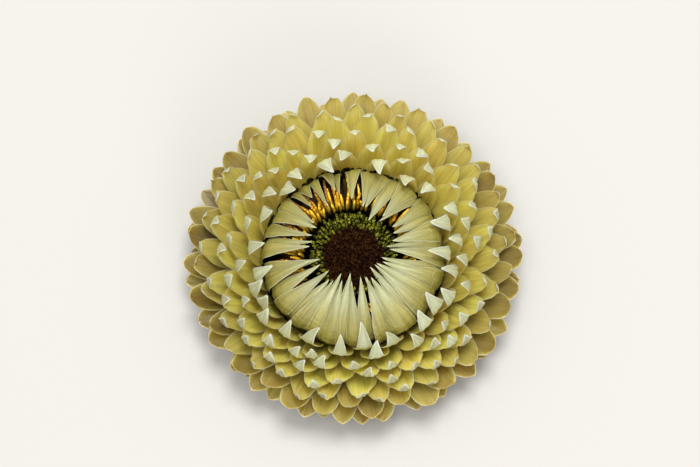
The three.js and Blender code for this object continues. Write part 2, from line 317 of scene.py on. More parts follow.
def blade_mesh(name, rows, columns, half_width, surface, fold):
    """A closed thin blade. surface(along, across, share) gives the place of a point, in mm."""
    across = [2 * c / (columns - 1) - 1 for c in range(columns)]
    sheet = []
    places = []
    for along in rows[:-1]:
        half = half_width(along)
        sheet.append([Vector(surface(along, v * half, v)) for v in across])
        to_margin = [min((1 - abs(v)) * half, rows[-1] - along) for v in across]
        places += [(v * half, along - fold, m) for v, m in zip(across, to_margin)]
    apex = Vector(surface(rows[-1], 0.0, 0.0))
    last = len(sheet) - 1
    points = [point for row in sheet for point in row] + [apex]
    places.append((0.0, rows[-1] - fold, 0.0))
    tip = len(points) - 1
    backs = {}
    for i in range(1, last + 1):
        for j in range(1, columns - 1):
            step = (sheet[i + 1][j] if i < last else apex) - sheet[i - 1][j]
            normal = step.cross(sheet[i][j + 1] - sheet[i][j - 1]).normalized()
            lift = normal * (BRACT_THICKNESS / 2) * (1 - across[j] ** 4)
            front = i * columns + j
            backs[front] = len(points)
            points.append(sheet[i][j] - lift)
            places.append(places[front])
            points[front] = sheet[i][j] + lift
    faces = [
        (i * columns + j, (i + 1) * columns + j, (i + 1) * columns + j + 1, i * columns + j + 1)
        for i in range(last)
        for j in range(columns - 1)
    ]
    faces += [(last * columns + j, tip, last * columns + j + 1) for j in range(columns - 1)]
    back_faces = [tuple(backs.get(p, p) for p in reversed(face)) for face in faces]
    mesh = bpy.data.meshes.new(name)
    mesh.from_pydata([p * MM for p in points], [], faces + back_faces)
    mesh.shade_smooth()
    starts = [i * columns for i in range(last + 1)]
    margin = {*range(columns), tip, *starts, *[start + columns - 1 for start in starts]}
    keep_blade_facts(mesh, places, margin, len(faces))
    return mesh


print("a blade is", BRACT_THICKNESS, "mm thick along its midrib")

# %% [markdown]
# The yellow bracts, row by row
#
# Thirty-one bracts make one turn of the spiral, and here a turn is called a whorl. The table
# gives one bract of each whorl, from the erect ones round the face down to the small ones at the
# stem: its root, knee and shoulder as radius and height, its width, the length of its tip, how
# wide the base of that tip is as a share of the blade, how far it is folded in degrees, and how
# pointed it is, from 0 for a round end to 1 for a three-cornered tip between flat shoulders.

# %% The table of whorls
ROW_FACTS = ("root", "knee", "shoulder", "width", "tip", "base", "curl", "pointed")
ROWS = [dict(zip(ROW_FACTS, row)) for row in (
    ((10.6, 6.2), (16.6, 5.6), (17.1, 16.1), 4.7, 5.2, 0.66, 50, 1.0),
    ((9.9, 5.9), (17.4, 4.7), (20.2, 15.7), 4.9, 3.9, 0.54, 42, 1.0),
    ((9.2, 5.6), (18.1, 4.2), (23.3, 14.8), 5.3, 3.2, 0.46, 50, 1.0),
    ((8.6, 5.3), (18.9, 3.9), (26.1, 13.0), 5.6, 2.7, 0.42, 56, 1.0),
    ((7.9, 5.1), (19.3, 3.8), (28.2, 10.7), 5.7, 2.1, 0.38, 46, 0.7),
    ((7.2, 4.8), (19.0, 3.6), (29.3, 8.1), 5.7, 1.8, 0.38, 14, 0.2),
    ((6.5, 4.5), (17.6, 3.4), (28.6, 5.4), 5.6, 1.7, 0.36, 2, 0.0),
    ((5.7, 4.2), (15.4, 3.2), (25.4, 2.9), 5.4, 1.6, 0.36, -5, 0.0),
    ((4.8, 3.9), (11.6, 3.0), (18.4, 1.4), 4.6, 1.4, 0.40, -6, 0.2),
    ((4.0, 3.6), (6.2, 2.9), (8.8, 1.9), 3.2, 1.1, 0.45, -5, 0.3),
)]
PER_WHORL = 31
SPIRAL_BRACTS = 280
GOLDEN_ANGLE = math.pi * (3 - math.sqrt(5))


def row_at(turn):
    """The bract shape at a place in the spiral, between two rows of the table."""
    low = min(int(turn), len(ROWS) - 2)
    a, b, share = ROWS[low], ROWS[low + 1], turn - low
    return {
        key: mix_pair(a[key], b[key], share) if isinstance(a[key], tuple) else mix(a[key], b[key], share)
        for key in a
    }


print("whorl 2.5 folds by", row_at(2.5)["curl"], "degrees")

# %% [markdown]
# How bracts differ
#
# No two bracts are alike. Five habits are made of each shape. The fold lies skew to one side or
# the other and is more or less sharp, the tip is longer or shorter and hooks on after the fold,
# one shoulder is fuller, the midrib swings, the blade is rolled, cupped and rippled, and a round
# end may be keen, with a slight point.

# %% The habits of the yellow bracts
HABIT_FACTS = ("skew", "curl", "tip", "lobe", "swing", "cup", "roll", "wide", "hook", "ripple", "keen")
HABITS = [dict(zip(HABIT_FACTS, habit)) for habit in (
    (26, 1.00, 1.00, 0.24, 0.5, 0.26, 0.07, 1.00, 44, 0.4, 0.0),
    (-20, 1.30, 0.86, -0.26, -0.7, 0.20, -0.08, 1.07, 56, 2.1, 0.5),
    (9, 0.84, 1.06, 0.10, 0.2, 0.32, 0.02, 0.94, 34, 4.0, 0.3),
    (-36, 1.12, 0.94, -0.12, -0.1, 0.24, -0.03, 0.98, 48, 5.2, 0.35),
    (38, 0.90, 0.76, 0.18, 0.0, 0.28, 0.05, 1.03, 52, 3.1, 0.0),
)]
print(len(HABITS), "habits, with folds skewed by", [habit["skew"] for habit in HABITS], "degrees")

# %% [markdown]
# One yellow bract
#
# Up to the fold the blade lies along its curve. Past the fold it rolls over towards the florets
# round a small radius, and then goes on as a hook. Its outline widens from a narrow claw and ends
# round, or in two flat shoulders with the three-cornered tip between them.

# %% Shape one yellow bract
BRACT_COLUMNS = 9
BODY_STATIONS = [0.0, 0.2, 0.38, 0.53, 0.66, 0.77, 0.86, 0.93]
FOLD_STATIONS = [-0.35, -0.12, 0.06, 0.2, 0.34, 0.5]  # mm before and after the fold
TIP_STATIONS = [0.34, 0.6, 0.84]
ROUND_STATIONS = [0.3, 0.52, 0.7, 0.83, 0.92, 0.975]
CLAW = 0.36  # width of the root, as a share of the full width
WIDEST = 0.76  # where along the whole blade a round bract is widest
WIDEST_BODY = 0.64  # where along its body a folded one is widest
ROLL_RADIUS = 0.5
LEAST_FOLD = 0.02  # a smaller fold, in radians, is left out
FOLD_REACH = 2.2  # how far on either side of the fold its skew is felt
RIPPLE = 0.08
RIPPLE_WAVES = 7.5
TIP_CUP = 0.2  # how far the sides of a folded tip bend down, as a share of its half width
FLOOR_GAP = 0.2
FOOT_GAP = 0.09


def fold_over(past, curl, hook_radius):
    """How far a point past the fold reaches on, and how far it has risen off the blade."""
    rolled = min(past / ROLL_RADIUS, curl)
    reach = ROLL_RADIUS * math.sin(rolled)
    rise = ROLL_RADIUS * (1 - math.cos(rolled))
    rest = past - ROLL_RADIUS * rolled
    if rest > 0:
        turn = rest / hook_radius
        reach += hook_radius * (math.sin(curl + turn) - math.sin(curl))
        rise += hook_radius * (math.cos(curl) - math.cos(curl + turn))
    return reach, rise


def yellow_bract(name, row, habit, lowest=FLOOR_GAP):
    pointed = smoothstep(row["pointed"], 0.3, 0.9)
    body, at = walk(bend(row["root"], row["knee"], row["shoulder"]))
    tip_length = row["tip"] * mix(1.0, habit["tip"], pointed)
    full = body + tip_length
    half = row["width"] * habit["wide"] / 2
    widest = mix(WIDEST * full, WIDEST_BODY * body, pointed)
    shoulders_end = mix(full, body + 0.3, pointed)
    keen = habit["keen"] * (1 - pointed)
    bluntness = mix(2.4, 2.7, pointed) - 0.9 * keen
    skew = math.radians(habit["skew"]) * mix(0.3, 1.0, pointed)
    curl = math.radians(row["curl"]) * habit["curl"]
    hook_radius = tip_length / (math.radians(habit["hook"]) * pointed + LEAST_FOLD)

    def half_width(along):
        if along < widest:
            shape = mix(CLAW, 1.0, smoothstep(along, 0, widest))
        else:
            share = min((along - widest) / (shoulders_end - widest), 1.0)
            shape = (1 - share**bluntness) ** mix(0.55, 0.8, keen)
        tip = row["base"] * min(max((full - along) / tip_length, 0.0), 1.0) ** 0.9
        return half * max(shape, tip * mix(0.4, 1.0, pointed))

    def surface(along, x, v):
        side = along / body
        near_fold = math.exp(-(((along - body) / FOLD_REACH) ** 2))
        x += habit["lobe"] * half * near_fold * (1 - abs(v)) * 0.4
        base = along - x * math.tan(skew) * near_fold
        past = (base - body) * math.cos(skew) + x * math.sin(skew)
        lift = habit["cup"] * mix(1.0, 0.3, smoothstep(along, 0.6 * body, body)) * half * v * v
        lift += TIP_CUP * pointed * smoothstep(past, 0.0, 0.45 * tip_length) * half_width(along) * v * v
        lift += RIPPLE * math.sin(RIPPLE_WAVES * v + habit["ripple"]) * smoothstep(side, 0.3, 0.8)
        lift += x * math.tan(habit["roll"])
        advance = 0.0
        if past > 0 and abs(curl) > LEAST_FOLD:
            reach, rise = fold_over(past, abs(curl), hook_radius)
            base -= past * math.cos(skew)
            advance = reach * math.cos(skew)
            x += (reach - past) * math.sin(skew)
            lift += math.copysign(rise, curl)
        r, z, slope = at(base)
        x += habit["swing"] * smoothstep(side, 0.2, 1.0)
        r += advance * math.cos(slope) - lift * math.sin(slope)
        z += advance * math.sin(slope) + lift * math.cos(slope)
        return (r, x, max(z, lowest))

    if pointed > 0.5:
        rows = [share * body for share in BODY_STATIONS] + [body + d for d in FOLD_STATIONS]
        rows += [mix(body + FOLD_STATIONS[-1], full, share) for share in TIP_STATIONS]
    else:
        rows = [share * body for share in BODY_STATIONS[:5]]
        rows += [mix(rows[-1], full, share) for share in ROUND_STATIONS]
    return blade_mesh(name, [*rows, full], BRACT_COLUMNS, half_width, surface, fold=body)


_, rise = fold_over(past=3.0, curl=math.radians(50), hook_radius=4.0)
print("3 mm past a fold of 50 degrees, a hooked tip has risen by", round(rise, 1), "mm")


# %% [markdown]
# The shapes of the spiral
#
# A rule can place the same few shapes hundreds of times. Nine whorls in quarter steps, in five
# habits each, are enough that the eye finds no repeats. Three shapes more are the feet, bracts
# near the lowest point on three sides, which the head rests on.

# %% Make the yellow shapes
STEPS_PER_WHORL = 4
LAST_STEP = round(SPIRAL_BRACTS / PER_WHORL * STEPS_PER_WHORL)
FEET = 3
FOOT_WHORL = 7.8
FOOT_HEIGHT = 0.35
FOOT_HABIT = HABITS[2]


def foot_numbers():
    """The bracts that the head rests on: in one whorl, those nearest to three even directions."""
    first = round((FOOT_WHORL - 0.5) * PER_WHORL)
    whorl = range(first, first + PER_WHORL)
    wanted = [math.pi / 2 + foot * 2 * math.pi / FEET for foot in range(FEET)]
    return [min(whorl, key=lambda i: abs(math.sin((i * GOLDEN_ANGLE - w) / 2))) for w in wanted]


def yellow_shapes():
    shapes = []
    for step in range(LAST_STEP + 1):
        row = row_at(min(step / STEPS_PER_WHORL, len(ROWS) - 1))
        shapes += [yellow_bract("shape", row, habit) for habit in HABITS]
    for number in foot_numbers():
        row = row_at(number / PER_WHORL)
        row["shoulder"] = (row["shoulder"][0], FOOT_HEIGHT)
        shapes.append(yellow_bract("foot", row, FOOT_HABIT, lowest=FOOT_GAP))
    return shapes


shapes_of_spiral = yellow_shapes()
print(len(shapes_of_spiral), "bract shapes; the head rests on bracts", foot_numbers())

# %% [markdown]
# Run a rule
#
# A rule is a tree of nodes, run as a modifier of an empty mesh. The shapes that it may place stand
# on a shelf, a collection of their own, in the order of their names, and the tree picks one by its
# number. The tree's inputs are set by the identifier of each socket before the mesh is first
# evaluated. The result is kept as a plain mesh, and the modifier and the shelf go. Every piece is
# then attached to the frame's root, and the solids that it stands for, if any, are hidden.

# %% Run a tree and keep its mesh
def new_tree(name, **labels):
    """A tree with named inputs. Each keyword is a type of socket, with the names of its inputs."""
    tree = bpy.data.node_groups.new(name, "GeometryNodeTree")
    for kind, names in labels.items():
        for label in names.split(", "):
            tree.interface.new_socket(label, in_out="INPUT", socket_type="NodeSocket" + kind)
    tree.interface.new_socket("Geometry", in_out="OUTPUT", socket_type="NodeSocketGeometry")
    return tree


def fill_shelf(name, meshes):
    shelf = bpy.data.collections.new(name)
    for n, mesh in enumerate(meshes):
        shelf.objects.link(bpy.data.objects.new(f"{name}_{n:03d}", mesh))
    return shelf


def clear_shelf(shelf):
    for obj in list(shelf.objects):
        mesh = obj.data
        bpy.data.objects.remove(obj)
        bpy.data.meshes.remove(mesh)
    bpy.data.collections.remove(shelf)


def grow(name, tree, shapes, values, material):
    """Runs the tree on those shapes and values, and returns the piece as a plain mesh object."""
    piece = bpy.data.objects.new(name, bpy.data.meshes.new(name))
    bpy.context.scene.collection.objects.link(piece)
    shelf = fill_shelf(name + "_shapes", shapes)
    rule = piece.modifiers.new("rule", "NODES")
    rule.node_group = tree
    sockets = {s.name: s.identifier for s in tree.interface.items_tree if s.in_out == "INPUT"}
    for label, value in {**values, "Shapes": shelf, "Axis": AXIS, "Material": material}.items():
        rule[sockets[label]] = value
    evaluated = piece.evaluated_get(bpy.context.evaluated_depsgraph_get())
    grown = bpy.data.meshes.new_from_object(evaluated)
    piece.modifiers.remove(rule)
    piece.data = grown
    grown.name = name
    clear_shelf(shelf)
    triangles = sum(len(face.vertices) - 2 for face in grown.polygons)
    print(f"{name}: {triangles} triangles")
    return piece


def finish_piece(piece, slot, *nodes):
    """Attaches the piece to the root, and hides the solids that it stands for, if any. The slot, what it is
    made of, is not used.
    """
    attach(piece, "root")
    if nodes:
        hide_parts(*nodes)


# %% [markdown]
# What all rules share
#
# The spiral, the rings and the disc differ in where a piece stands. Alike in all of them is that
# each piece has a number, from which a fixed seed draws its small differences, that a shape is
# put on a point and turned, that it may swing about its root, and that the copies become real.

# %% Share what the rules have in common
def numbered(tree, given):
    """The number of each piece, three draws from -1 to 1 for it, and the number of its habit."""
    number = add(tree, "GeometryNodeInputIndex")
    vector_draw = ((-1, -1, -1), (1, 1, 1), number, given["Seed"])
    draws = add(tree, "FunctionNodeRandomValue", vector_draw, data_type="FLOAT_VECTOR")
    last = add(tree, "ShaderNodeMath", (given["Habits"], 1.0), operation="SUBTRACT")
    habit = add(tree, "FunctionNodeRandomValue", (0, last, number, given["Seed"]), data_type="INT")
    return number, draws, habit


def about_upright(tree, angle):
    """A turn by an angle about the upright direction."""
    return add(tree, "FunctionNodeEulerToRotation", (add(tree, "ShaderNodeCombineXYZ", {"Z": angle}),))


def put_shapes(tree, given, count, place, picked, rotation, scale, chosen=True):
    """Copies of the shapes on the shelf, one on each of so many points."""
    points = add(tree, "GeometryNodePoints", (count, place))
    shapes = add(tree, "GeometryNodeCollectionInfo", (given["Shapes"], True, True))
    inputs = (points, chosen, shapes, True, picked, rotation, scale)
    return add(tree, "GeometryNodeInstanceOnPoints", inputs)


def swing_about_root(tree, given, pieces, draw):
    angle = add(tree, "ShaderNodeMath", (draw, given["Swing varies"]), operation="MULTIPLY")
    inputs = (pieces, True, about_upright(tree, angle), given["Root"], True)
    return add(tree, "GeometryNodeRotateInstances", inputs)


def end_tree(tree, given, pieces, **facts):
    """Keeps facts on each piece, makes the pieces real, and gives them their material."""
    for name, value in facts.items():
        inputs = (pieces, True, name, value)
        pieces = add(
            tree, "GeometryNodeStoreNamedAttribute", inputs, data_type="FLOAT", domain="INSTANCE"
        )
    real = add(tree, "GeometryNodeRealizeInstances", (pieces,))
    dressed = add(tree, "GeometryNodeSetMaterial", (real, True, given["Material"]))
    add(tree, "NodeGroupOutput", (dressed,))
    return tree


# %% [markdown]
# The spiral rule
#
# Each bract stands a golden angle on from the one before, which is how the plant lays them so
# that none covers another. The tree gives every bract its number, turns it by that angle about
# the axis, picks its shape by its whorl, and lets its angle, reach and swing differ a little.

# %% Build the spiral tree
def spiral_tree():
    tree = new_tree(
        "spiral_of_bracts",
        Collection="Shapes",
        Int="Bracts, Habits, Foot shape, Foot 1, Foot 2, Foot 3, Seed",
        Float="Bracts per whorl, Golden angle, Steps per whorl, Angle varies, Reach varies, "
              "Swing varies, Lopsided, Lopsided from",
        Vector="Axis, Root",
        Material="Material",
    )
    given = add(tree, "NodeGroupInput").outputs
    number, draws, habit = numbered(tree, given)
    draw = add(tree, "ShaderNodeSeparateXYZ", (draws,)).outputs
    turn = add(tree, "ShaderNodeMath", (number, given["Bracts per whorl"]), operation="DIVIDE")
    spin = add(tree, "ShaderNodeMath", (number, given["Golden angle"]), operation="MULTIPLY")
    angle = add(tree, "ShaderNodeMath", (draw["X"], given["Angle varies"], spin), operation="MULTIPLY_ADD")
    # the outer bracts reach further at the far side of the head
    whorls = (turn, 0.0, given["Lopsided from"])
    outer = add(tree, "ShaderNodeMapRange", whorls, interpolation_type="SMOOTHSTEP")
    far_side = add(tree, "ShaderNodeMath", (angle,), operation="SINE")
    further = add(tree, "ShaderNodeMath", (far_side, outer), operation="MULTIPLY")
    varied = add(tree, "ShaderNodeMath", (draw["Y"], given["Reach varies"], 1.0), operation="MULTIPLY_ADD")
    reach = add(tree, "ShaderNodeMath", (further, given["Lopsided"], varied), operation="MULTIPLY_ADD")
    scale = add(tree, "ShaderNodeCombineXYZ", (reach, 1.0, 1.0))
    # a bract's shape is that of its whorl and habit, unless it is a foot
    stepped = add(tree, "ShaderNodeMath", (turn, given["Steps per whorl"]), operation="MULTIPLY")
    step = add(tree, "ShaderNodeMath", (stepped,), operation="ROUND")
    picked = add(tree, "ShaderNodeMath", (step, given["Habits"], habit), operation="MULTIPLY_ADD")
    for foot in range(FEET):
        pair = (number, given[f"Foot {foot + 1}"])
        same = add(tree, "FunctionNodeCompare", pair, data_type="INT", operation="EQUAL")
        shape = add(tree, "ShaderNodeMath", (given["Foot shape"], float(foot)), operation="ADD")
        picked = add(tree, "GeometryNodeSwitch", (same, picked, shape), input_type="INT")
    facing = about_upright(tree, angle)
    bracts = put_shapes(tree, given, given["Bracts"], given["Axis"], picked, facing, scale)
    swung = swing_about_root(tree, given, bracts, draw["Z"])
    tone = add(tree, "FunctionNodeRandomValue", (-1.0, 1.0, number, given["Seed"]), data_type="FLOAT")
    return end_tree(tree, given, swung, tone=tone, turn=turn)


spiral = spiral_tree()
print("the spiral tree has", len(spiral.nodes), "nodes")

# %% [markdown]
# Papery yellow
#
# A strawflower bract is dry all through: a stiff, thin, glossy scale, like straw or thin horn.
# Its upper face is satin yellow with fine veins along it, and pale at the tip. It is dark at the
# root, partly by its own colour and partly by painted shade where it is covered.
# Its back is paler, nearly white at the tip, so every folded tip shows as a white three-cornered
# patch, and painted light makes it paler still at the far side of the head. The outer bracts are
# duller and browner, partly by their own colour and partly by painted shade, most at the flanks and
# on the near side, while painted light lifts them at the far side. Over all bracts, painted shade
# darkens the flanks and painted light lifts the near side. The margin is so thin that light glows
# through it, and that glow is painted on in amber; just inside it, where the blade curls, painted
# shade makes it darker.

# %% The yellow bract's material
VEIN_SPACING = 0.36  # mm
VEIN_LENGTH = 9.0
VEIN_SHIFT = 40.0  # how far the pattern moves from one bract to another, so that no two are alike
VEIN_NOISE = (3.0, 0.65)  # its detail and its roughness
# the outer whorls turn duller, partly by their own colour and partly by painted shade
DULL_WHORLS = (2.4, 4.6)  # where the bracts turn dull, from the first whorl to the last
FOLDED_WHORLS = (3.6, 4.4)  # where the folded tips end
# painted shade darkens the left and right flanks, and painted light lifts the near side
PAINTED_SIDE_SHADE_AND_LIGHT = (  # a direction, two places along it in mm, and the lightness of the leaves at each
    ("X", -22, -10, 0.78, 1.0),
    ("X", 12, 22, 1.0, 0.9),
    ("Y", -22, -8, 1.1, 1.0),
)


def new_material(name):
    material = bpy.data.materials.new(name)
    material.use_nodes = True
    material.node_tree.nodes.clear()
    return material, material.node_tree


def drawn_out(tree, parts, tone, across, along, shift, *noise):
    """Noise drawn out along a blade: so wide across and so long, in mm, and shifted by its tone."""
    place = add(tree, "ShaderNodeCombineXYZ", (
        add(tree, "ShaderNodeMath", (parts["X"], 1 / (across * MM)), operation="MULTIPLY"),
        add(tree, "ShaderNodeMath", (parts["Y"], 1 / (along * MM)), operation="MULTIPLY"),
        add(tree, "ShaderNodeMath", (tone, shift), operation="MULTIPLY"),
    ))
    return add(tree, "ShaderNodeTexNoise", (place, 1.0, *noise))


def draw_veins(tree, parts, tone):
    return drawn_out(tree, parts, tone, VEIN_SPACING, VEIN_LENGTH, VEIN_SHIFT, *VEIN_NOISE)


def papery_yellow():
    material, tree = new_material("papery_yellow_bract")
    blade = add(tree, "ShaderNodeAttribute", attribute_name="blade").outputs["Vector"]
    parts = add(tree, "ShaderNodeSeparateXYZ", (blade,)).outputs
    back, tone, turn = [
        add(tree, "ShaderNodeAttribute", attribute_name=name).outputs["Fac"]
        for name in ("back", "tone", "turn")
    ]
    spot = add(tree, "ShaderNodeTexCoord").outputs["Object"]
    place = add(tree, "ShaderNodeSeparateXYZ", (spot,)).outputs
    # the colour of each face, from the root through the body to the fold and the tip; the dark root is
    # partly the blade's own colour and partly painted shade where it is covered
    along = add(tree, "ShaderNodeMapRange", (parts["Y"], -12 * MM, 2 * MM))
    face = add(tree, "ShaderNodeValToRGB", (along,), stops=(
        (0.0, "#3f380e"), (0.22, "#9a8b30"), (0.42, "#bfaf4c"), (0.66, "#cabc5a"), (0.86, "#d4ca76"),
        (1.0, "#dad598"),
    ))
    rear = add(tree, "ShaderNodeValToRGB", (along,), stops=(
        (0.0, "#4a3a14"), (0.35, "#988238"), (0.62, "#c0b254"), (0.8, "#b8b470"), (0.87, "#adb188"),
        (1.0, "#b0b698"),
    ))
    # painted light: the backs are paler towards the far side of the head
    painted_far_light = add(tree, "ShaderNodeMapRange", (place["Y"], -22 * MM, 20 * MM, 0.72, 1.16))
    pale = add(tree, "ShaderNodeHueSaturation", {"Color": rear, "Value": painted_far_light})
    sides = add(tree, "ShaderNodeMix", (back, face, pale), data_type="RGBA")
    veins = draw_veins(tree, parts, tone)
    veined = add(tree, "ShaderNodeMapRange", (veins, 0.32, 0.7, 0.8, 1.12))
    # the outer whorls duller, partly their own colour and partly painted shade, most at the flanks and on
    # the near side, with painted light lifting them at the far side; and from leaf to leaf
    aside = add(tree, "ShaderNodeMath", (place["X"],), operation="ABSOLUTE")
    outer_and_painted_flank_shade = add(tree, "ShaderNodeMapRange", (aside, 16 * MM, 27 * MM, 0.4, 0.215))
    far = add(tree, "ShaderNodeVectorMath", (spot, (0.25, 0.97, 0.0)), operation="DOT_PRODUCT")
    faded = add(tree, "ShaderNodeMapRange", (far, -26 * MM, 26 * MM, 0.74, 1.27))
    outer_shade_and_painted_light = add(tree, "ShaderNodeMath", (outer_and_painted_flank_shade, faded), operation="MULTIPLY")
    whorl_shade_partly_painted = add(tree, "ShaderNodeMapRange", (turn, *DULL_WHORLS, 1.0, outer_shade_and_painted_light))
    differs = add(tree, "ShaderNodeMath", (tone, 0.07, whorl_shade_partly_painted), operation="MULTIPLY_ADD")
    # painted shade at the flanks and painted light on the near side
    for side, low, high, at_low, at_high in PAINTED_SIDE_SHADE_AND_LIGHT:
        painted_side_light = add(tree, "ShaderNodeMapRange", (place[side], low * MM, high * MM, at_low, at_high))
        differs = add(tree, "ShaderNodeMath", (differs, painted_side_light), operation="MULTIPLY")
    shade = add(tree, "ShaderNodeMath", (veined, differs), operation="MULTIPLY")
    warm = add(tree, "ShaderNodeMapRange", (place["Y"], -8 * MM, 18 * MM, 0.501, 0.493))
    tanned = add(tree, "ShaderNodeMapRange", (turn, *DULL_WHORLS, warm, 0.487))
    hue = add(tree, "ShaderNodeMath", (tone, 0.008, tanned), operation="MULTIPLY_ADD")
    lit = add(tree, "ShaderNodeHueSaturation", {"Color": sides, "Value": shade, "Hue": hue})
    # painted light and shade at the thin margin: a painted amber glow of light through it, pale on folded
    # tips, and painted shade of its curl just inside it
    margin = add(tree, "ShaderNodeMapRange", (parts["Z"], 0.06 * MM, 0.24 * MM, 0.55, 0.0))
    painted_curl_shade_mask = add(tree, "ShaderNodeMapRange", (parts["Z"], 0.24 * MM, 0.7 * MM, 0.26, 0.0))
    folds = add(tree, "ShaderNodeMapRange", (turn, *FOLDED_WHORLS, 1.0, 0.0))
    on_tip = add(tree, "ShaderNodeMapRange", (parts["Y"], 0.0, 0.6 * MM, 0.0, folds))
    rim = add(tree, "ShaderNodeMix", (on_tip, "#d3ae4e", "#d9dcc4"), data_type="RGBA")
    painted_curl_shaded = add(tree, "ShaderNodeMix", (painted_curl_shade_mask, lit, "#7a6a22"), data_type="RGBA")
    painted_rim_lit = add(tree, "ShaderNodeMix", (margin, painted_curl_shaded, rim), data_type="RGBA")
    height = add(tree, "ShaderNodeMath", (veins, 0.04 * MM), operation="MULTIPLY")
    bump = add(tree, "ShaderNodeBump", {"Height": height, "Strength": 0.8, "Distance": 1.0})
    shader = add(tree, "ShaderNodeBsdfPrincipled", {
        "Base Color": painted_rim_lit, "Roughness": 0.42, "IOR": 1.5, "Normal": bump,
        "Subsurface Weight": 0.8, "Subsurface Radius": (1.0, 0.75, 0.3),
        "Subsurface Scale": 1.3 * MM, "Sheen Weight": 0.05, "Sheen Roughness": 0.4,
    })
    add(tree, "ShaderNodeOutputMaterial", (shader,))
    return material


# %% [markdown]
# The yellow bracts in place
#
# One run of the spiral rule lays all 280 bracts. They vary by two degrees in angle, by one part
# in a hundred in reach and by three degrees in swing, and the head is a little lopsided.

# %% Grow the yellow bracts
feet = {f"Foot {n + 1}": number for n, number in enumerate(foot_numbers())}
yellow = grow("yellow_bract_spiral", spiral, shapes_of_spiral, {
    "Bracts": SPIRAL_BRACTS, "Bracts per whorl": float(PER_WHORL), "Golden angle": GOLDEN_ANGLE,
    "Steps per whorl": float(STEPS_PER_WHORL), "Habits": len(HABITS),
    "Foot shape": len(shapes_of_spiral) - FEET, **feet,
    "Angle varies": 0.035, "Reach varies": 0.012, "Swing varies": 0.05,
    "Lopsided": 0.05, "Lopsided from": 4.0, "Root": Vector((10, 0, 6)) * MM, "Seed": 7,
}, papery_yellow())
finish_piece(yellow, "yellow_bract", "yellow_bracts")

# %% [markdown]
# The ring rule
#
# Inner bracts, the dark scales of the crease's painted shade, rim florets and bristles all stand in
# a ring about the axis. One tree serves all four. It turns each piece to its place in the ring and
# picks its shape in two ways: by turns, so that every other one comes from the back row, and by how
# near it is to the side where the dome of inner bracts stands open. A ring that is the same all
# round has only one step of openness.

# %% Build the ring tree
def ring_tree():
    tree = new_tree(
        "ring_about_the_axis",
        Collection="Shapes",
        Int="Count, Rows, Habits, Open steps, Seed",
        Float="Open direction, Open within, Open until, Side share, Side from, Near from, "
              "Angle varies, Swing varies, Size varies",
        Vector="Axis, Root",
        Material="Material",
    )
    given = add(tree, "NodeGroupInput").outputs
    number, draws, habit = numbered(tree, given)
    draw = add(tree, "ShaderNodeSeparateXYZ", (draws,)).outputs
    moved = add(tree, "ShaderNodeMath", (draw["X"], given["Angle varies"], number), operation="MULTIPLY_ADD")
    share = add(tree, "ShaderNodeMath", (moved, given["Count"]), operation="DIVIDE")
    angle = add(tree, "ShaderNodeMath", (share, 2 * math.pi), operation="MULTIPLY")
    # how open the ring stands there, from 0 to 1, and so which step of openness the shape has
    apart = add(tree, "ShaderNodeMath", (angle, given["Open direction"]), operation="SUBTRACT")
    wrapped = add(tree, "ShaderNodeMath", (apart, math.pi, -math.pi), operation="WRAP")
    away = add(tree, "ShaderNodeMath", (wrapped,), operation="ABSOLUTE")
    beyond = (away, given["Side from"], given["Near from"], given["Side share"], 0.0)
    at_side = add(tree, "ShaderNodeMapRange", beyond, interpolation_type="SMOOTHSTEP")
    near_by = (away, given["Open within"], given["Open until"], 1.0, at_side)
    opened = add(tree, "ShaderNodeMapRange", near_by, interpolation_type="SMOOTHSTEP")
    top_step = add(tree, "ShaderNodeMath", (given["Open steps"], 1.0), operation="SUBTRACT")
    steps = add(tree, "ShaderNodeMath", (opened, top_step), operation="MULTIPLY")
    step = add(tree, "ShaderNodeMath", (steps,), operation="ROUND")
    row = add(tree, "ShaderNodeMath", (number, given["Rows"]), operation="MODULO")
    in_row = add(tree, "ShaderNodeMath", (step, given["Rows"], row), operation="MULTIPLY_ADD")
    picked = add(tree, "ShaderNodeMath", (in_row, given["Habits"], habit), operation="MULTIPLY_ADD")
    facing = about_upright(tree, angle)
    size = add(tree, "ShaderNodeMath", (draw["Y"], given["Size varies"], 1.0), operation="MULTIPLY_ADD")
    scale = add(tree, "ShaderNodeCombineXYZ", (1.0, size, 1.0))
    pieces = put_shapes(tree, given, given["Count"], given["Axis"], picked, facing, scale)
    swung = swing_about_root(tree, given, pieces, draw["Z"])
    return end_tree(tree, given, swung, tone=draw["Y"])


ring = ring_tree()
SAME_ALL_ROUND = {
    "Open steps": 1, "Open direction": 0.0, "Open within": 0.0, "Open until": 1.0,
    "Side share": 0.0, "Side from": 1.0, "Near from": 2.0,
}
print("the ring tree has", len(ring.nodes), "nodes")

# %% [markdown]
# The dome of inner bracts
#
# Inside the yellow bracts lies a dome of narrow pointed ones. They spring from the rim of the
# disc, swell out to the crease, and lean in over the florets, so here it is their pale backs that
# show. Each has a low keel along its middle. On the upper side the dome stands open, and there
# they are shorter, narrower, without a waist, and more upright.

